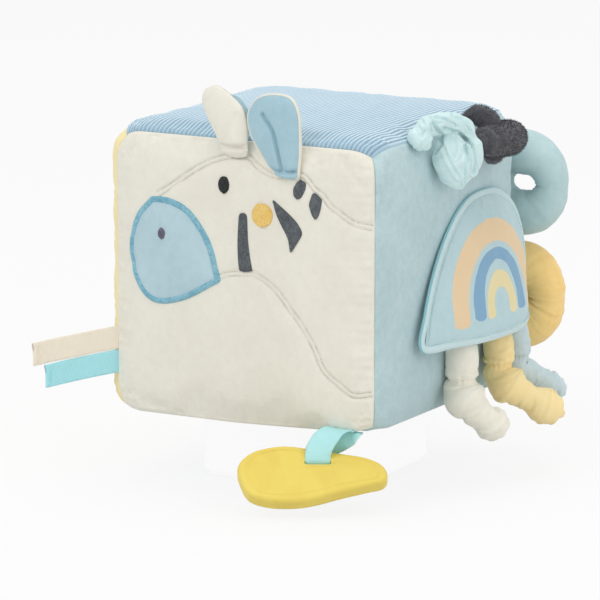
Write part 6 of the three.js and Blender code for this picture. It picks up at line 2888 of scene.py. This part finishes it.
def tails(right: Panel, looks: Finishes) -> list[Tail]:
    """Lays out the three tails.

    Args:
        right: The panel that they hang on.
        looks: The finishes.

    Returns:
        The tails, from the front.
    """
    cream = (
        ((0, 0, 0), (0, 0, -0.08), (0.06, 0, -0.22), (0.16, 0.09, -0.37), (0.27, 0.2, -0.5), (0.33, 0.27, -0.6)),
        ((0, 0.8), (0.08, 1.05), (0.28, 1.3), (0.5, 0.95), (0.62, 0.86), (0.8, 1.05), (0.93, 0.85), (1, 0.3)),
        ((26, 4.9, 1.3, -1.5, 0.05, 0.8), (50, 4.8, 1.7, 3.2, 0.16, 1.1), (38, 5.4, 0.9, 2.0, 0.06, 0.8)),
        (0.0, 0.0),
    )
    yellow = (
        ((0, 0, 0), (0, 0, -0.08), (0.1, 0.02, -0.2), (0.27, 0.12, -0.32), (0.45, 0.3, -0.46), (0.58, 0.42, -0.54)),
        ((0, 0.8), (0.08, 1), (0.27, 1.3), (0.46, 0.92), (0.55, 0.84), (0.76, 1.2), (0.92, 0.95), (1, 0.3)),
        (
            (31.5, 4.9, 1.4, 0.6, 0.05, 0.6), (48, 4.9, 1.8, 0.8, 0.17, 1.1),
            (51, 4.7, 0.35, 9.0, 0.22, 1.5), (46, 5.3, 0.4, 6.0, 0.15, 1.2),
        ),
        (1.6 * MM, 2.6 * MM),
    )  # fmt: skip
    blue = (
        ((0, 0, 0), (0, 0, -0.1), (0.1, 0.13, -0.19), (0.21, 0.28, -0.28), (0.32, 0.4, -0.38), (0.37, 0.48, -0.44)),
        ((0, 0.8), (0.1, 0.95), (0.3, 1), (0.52, 0.8), (0.76, 0.95), (0.93, 0.7), (1, 0.3)),
        ((24, 4.8, 1.5, 1.0, 0.05, 0.7), (43, 4.8, 1.5, 1.4, 0.08, 1.0)),
        (2.2 * MM, 4.2 * MM),
    )
    return [
        Tail(right, "cream", looks.tail_cream, "cream_velour", -0.053, 1.0, *cream),
        Tail(right, "yellow", looks.tail_yellow, "yellow_velour", 0.207, 0.94, *yellow),
        Tail(right, "blue", looks.tail_blue, "blue_velour", 0.345, 0.86, *blue),
    ]


def knots(looks: Finishes) -> list[Knot]:
    """Lays out both knotted toggles.

    Args:
        looks: The finishes.

    Returns:
        The mint and the charcoal one.
    """
    mint_band = (
        (-0.05, -0.06, -0.116), (0.02, 0.0, 0.05), (0.14, 0.14, 0.12), (0.35, 0.4, 0.16), (0.5, 0.65, 0.08),
        (0.6, 0.8, -0.12),
    )  # fmt: skip
    mint_knob = ((0.38, 0.47, 0.0), (0.36, 0.48, -0.4), (0.4, 0.56, -0.72), (0.45, 0.7, -0.98))
    mint_swell = ((0, 0.7), (0.2, 1.35), (0.45, 1.7), (0.7, 1.45), (0.9, 0.85), (1, 0.3))
    mint_creases = creases(
        (((7.308, 5.1408), (8.82, 2.6208), (11.592, -0.9072), (10.584, -5.9472), (8.316, -8.9712)), 2.2, 0.9, 0.2),
        (((12.852, 2.8728), (16.38, 2.1168), (20.412, 0.8568), (24.444, -2.6712), (27.468, -5.4432)), 1.9, 0.75, 0.3),
        (((23.184, -5.9472), (24.5448, -11.844), (23.5872, -19.0512), (23.94, -25.0992)), 1.8, 0.7, 0.45),
        (((27.216, -6.1488), (28.98, -11.844), (27.72, -19.5552)), 1.4, 0.7, 0.45),
        (((8.316, 8.1648), (13.86, 7.1568), (18.9, 4.1328)), 1.1, 0.6, 0.5),
        (((16.884, 9.4248), (22.68, 6.6528), (26.208, 1.6128)), 1.2, 0.65, 0.5),
        (((1.26, 7.6608), (3.024, 3.1248), (1.512, -1.9152)), 0.9, 0.7, 0.5),
        (((4.788, 9.1728), (6.552, 6.1488), (5.796, 2.1168)), 0.9, 0.6, 0.5),
        (((11.34, -2.9232), (13.86, -9.9792), (17.892, -18.0432), (20.916, -22.0752)), 0.7, 0.8, 0.6),
        (((18.396, -1.4112), (19.908, -5.9472), (18.396, -11.9952)), 0.7, 0.7, 0.6),
    )
    mint_parts = (
        (
            ((0.62, 0.72, -0.08), (0.64, 0.74, -0.36), (0.6, 0.76, -0.62), (0.54, 0.74, -0.84)),
            ((0, 0.5), (0.2, 0.95), (0.5, 1.05), (0.8, 0.8), (1, 0.3)),
        ),
        (
            ((-0.06, -0.1, -0.02), (0.06, -0.08, -0.06), (0.18, -0.02, -0.2)),
            ((0, 0.8), (0.4, 1.05), (0.8, 0.95), (1, 0.5)),
        ),
        (
            ((0.12, -0.1, 0.12), (0.3, 0.2, 0.22), (0.52, 0.52, 0.12), (0.62, 0.72, -0.05)),
            ((0, 0.5), (0.3, 0.8), (0.7, 0.8), (1, 0.5)),
        ),
    )
    mint_folds = (1.0 * MM, 0.35 * MM, 0.6 * MM, 0.6 * MM, 0.8 * MM)
    dark_band = (
        (-0.03, -0.12, -0.116), (0.04, -0.04, 0.02), (0.17, 0.07, 0.08), (0.36, 0.1, 0.03),
        (0.52, 0.04, -0.2), (0.44, 0.2, -0.56), (0.31, 0.33, -0.71),
    )  # fmt: skip
    dark_knob = ((0.54, -0.5, -0.27), (0.54, -0.1, -0.3), (0.5, 0.5, -0.35), (0.47, 1.05, -0.4))
    dark_swell = ((0, 0.7), (0.08, 1.3), (0.3, 1.55), (0.78, 1.6), (0.93, 1.25), (1, 0.6))
    mint = ("mint_knot", looks.knot_mint, "mint_velour", -0.24, mint_band, mint_knob, mint_swell)
    dark = ("charcoal_knot", looks.charcoal, "charcoal_velour", 0.107, dark_band, dark_knob, dark_swell)
    return [
        Knot(*mint, mint_creases, mint_folds, mint_parts),
        Knot(*dark, (), (0.45 * MM, 0.15 * MM), pile_length=1.2 * MM, seed=9, fold_count=2),
    ]


def main() -> None:
    """Builds every sub-assembly in order."""
    logging.basicConfig(level=logging.INFO, format="%(message)s")
    shop = Workshop(Finishes(), StitchMaker(), RibMaker(), PileMaker())
    looks = shop.finishes
    Studio().build()
    cube, face = PaddedCube(), ZebraFace()
    cube.blow_up()
    cube.gather_seams()
    front, right = cube.panels[Side.FRONT], cube.panels[Side.RIGHT]
    front.extra.append(face.pulled)
    cube.build(shop)
    face.build(shop, front)
    high, low = SEAM_Z + 0.7248 * 2 * HALF_TALL, SEAM_Z + 0.3041 * 2 * HALF_TALL
    yellow = ("yellow_ring", looks.ring_yellow, "yellow_velour")
    beige, aqua = ("tag_beige", looks.beige_ribbon, "beige_ribbon"), ("tag_aqua", looks.aqua_ribbon, "aqua_ribbon")
    for assembly in (
        Inside(front),
        *ears(front),
        Flap(right),
        *tails(right, looks),
        StuffedRing(front, "mint_ring", looks.mint, "mint_velour", 76 * MM, high, 16.2 * MM, 12 * MM, 0.07 * MM),
        StuffedRing(front, *yellow, 73.5 * MM, low, 15 * MM, 13.8 * MM, 0.75 * MM),
        *knots(looks),
        RibbonTag("beige_tag", *beige, 39.5 * MM, 45.5 * MM, 6.7 * MM),
        RibbonTag("aqua_tag", *aqua, 27 * MM, 39 * MM, 6.0 * MM),
        TeetherLoop(),
    ):
        assembly.build(shop)


if __name__ == "__main__":
    main()
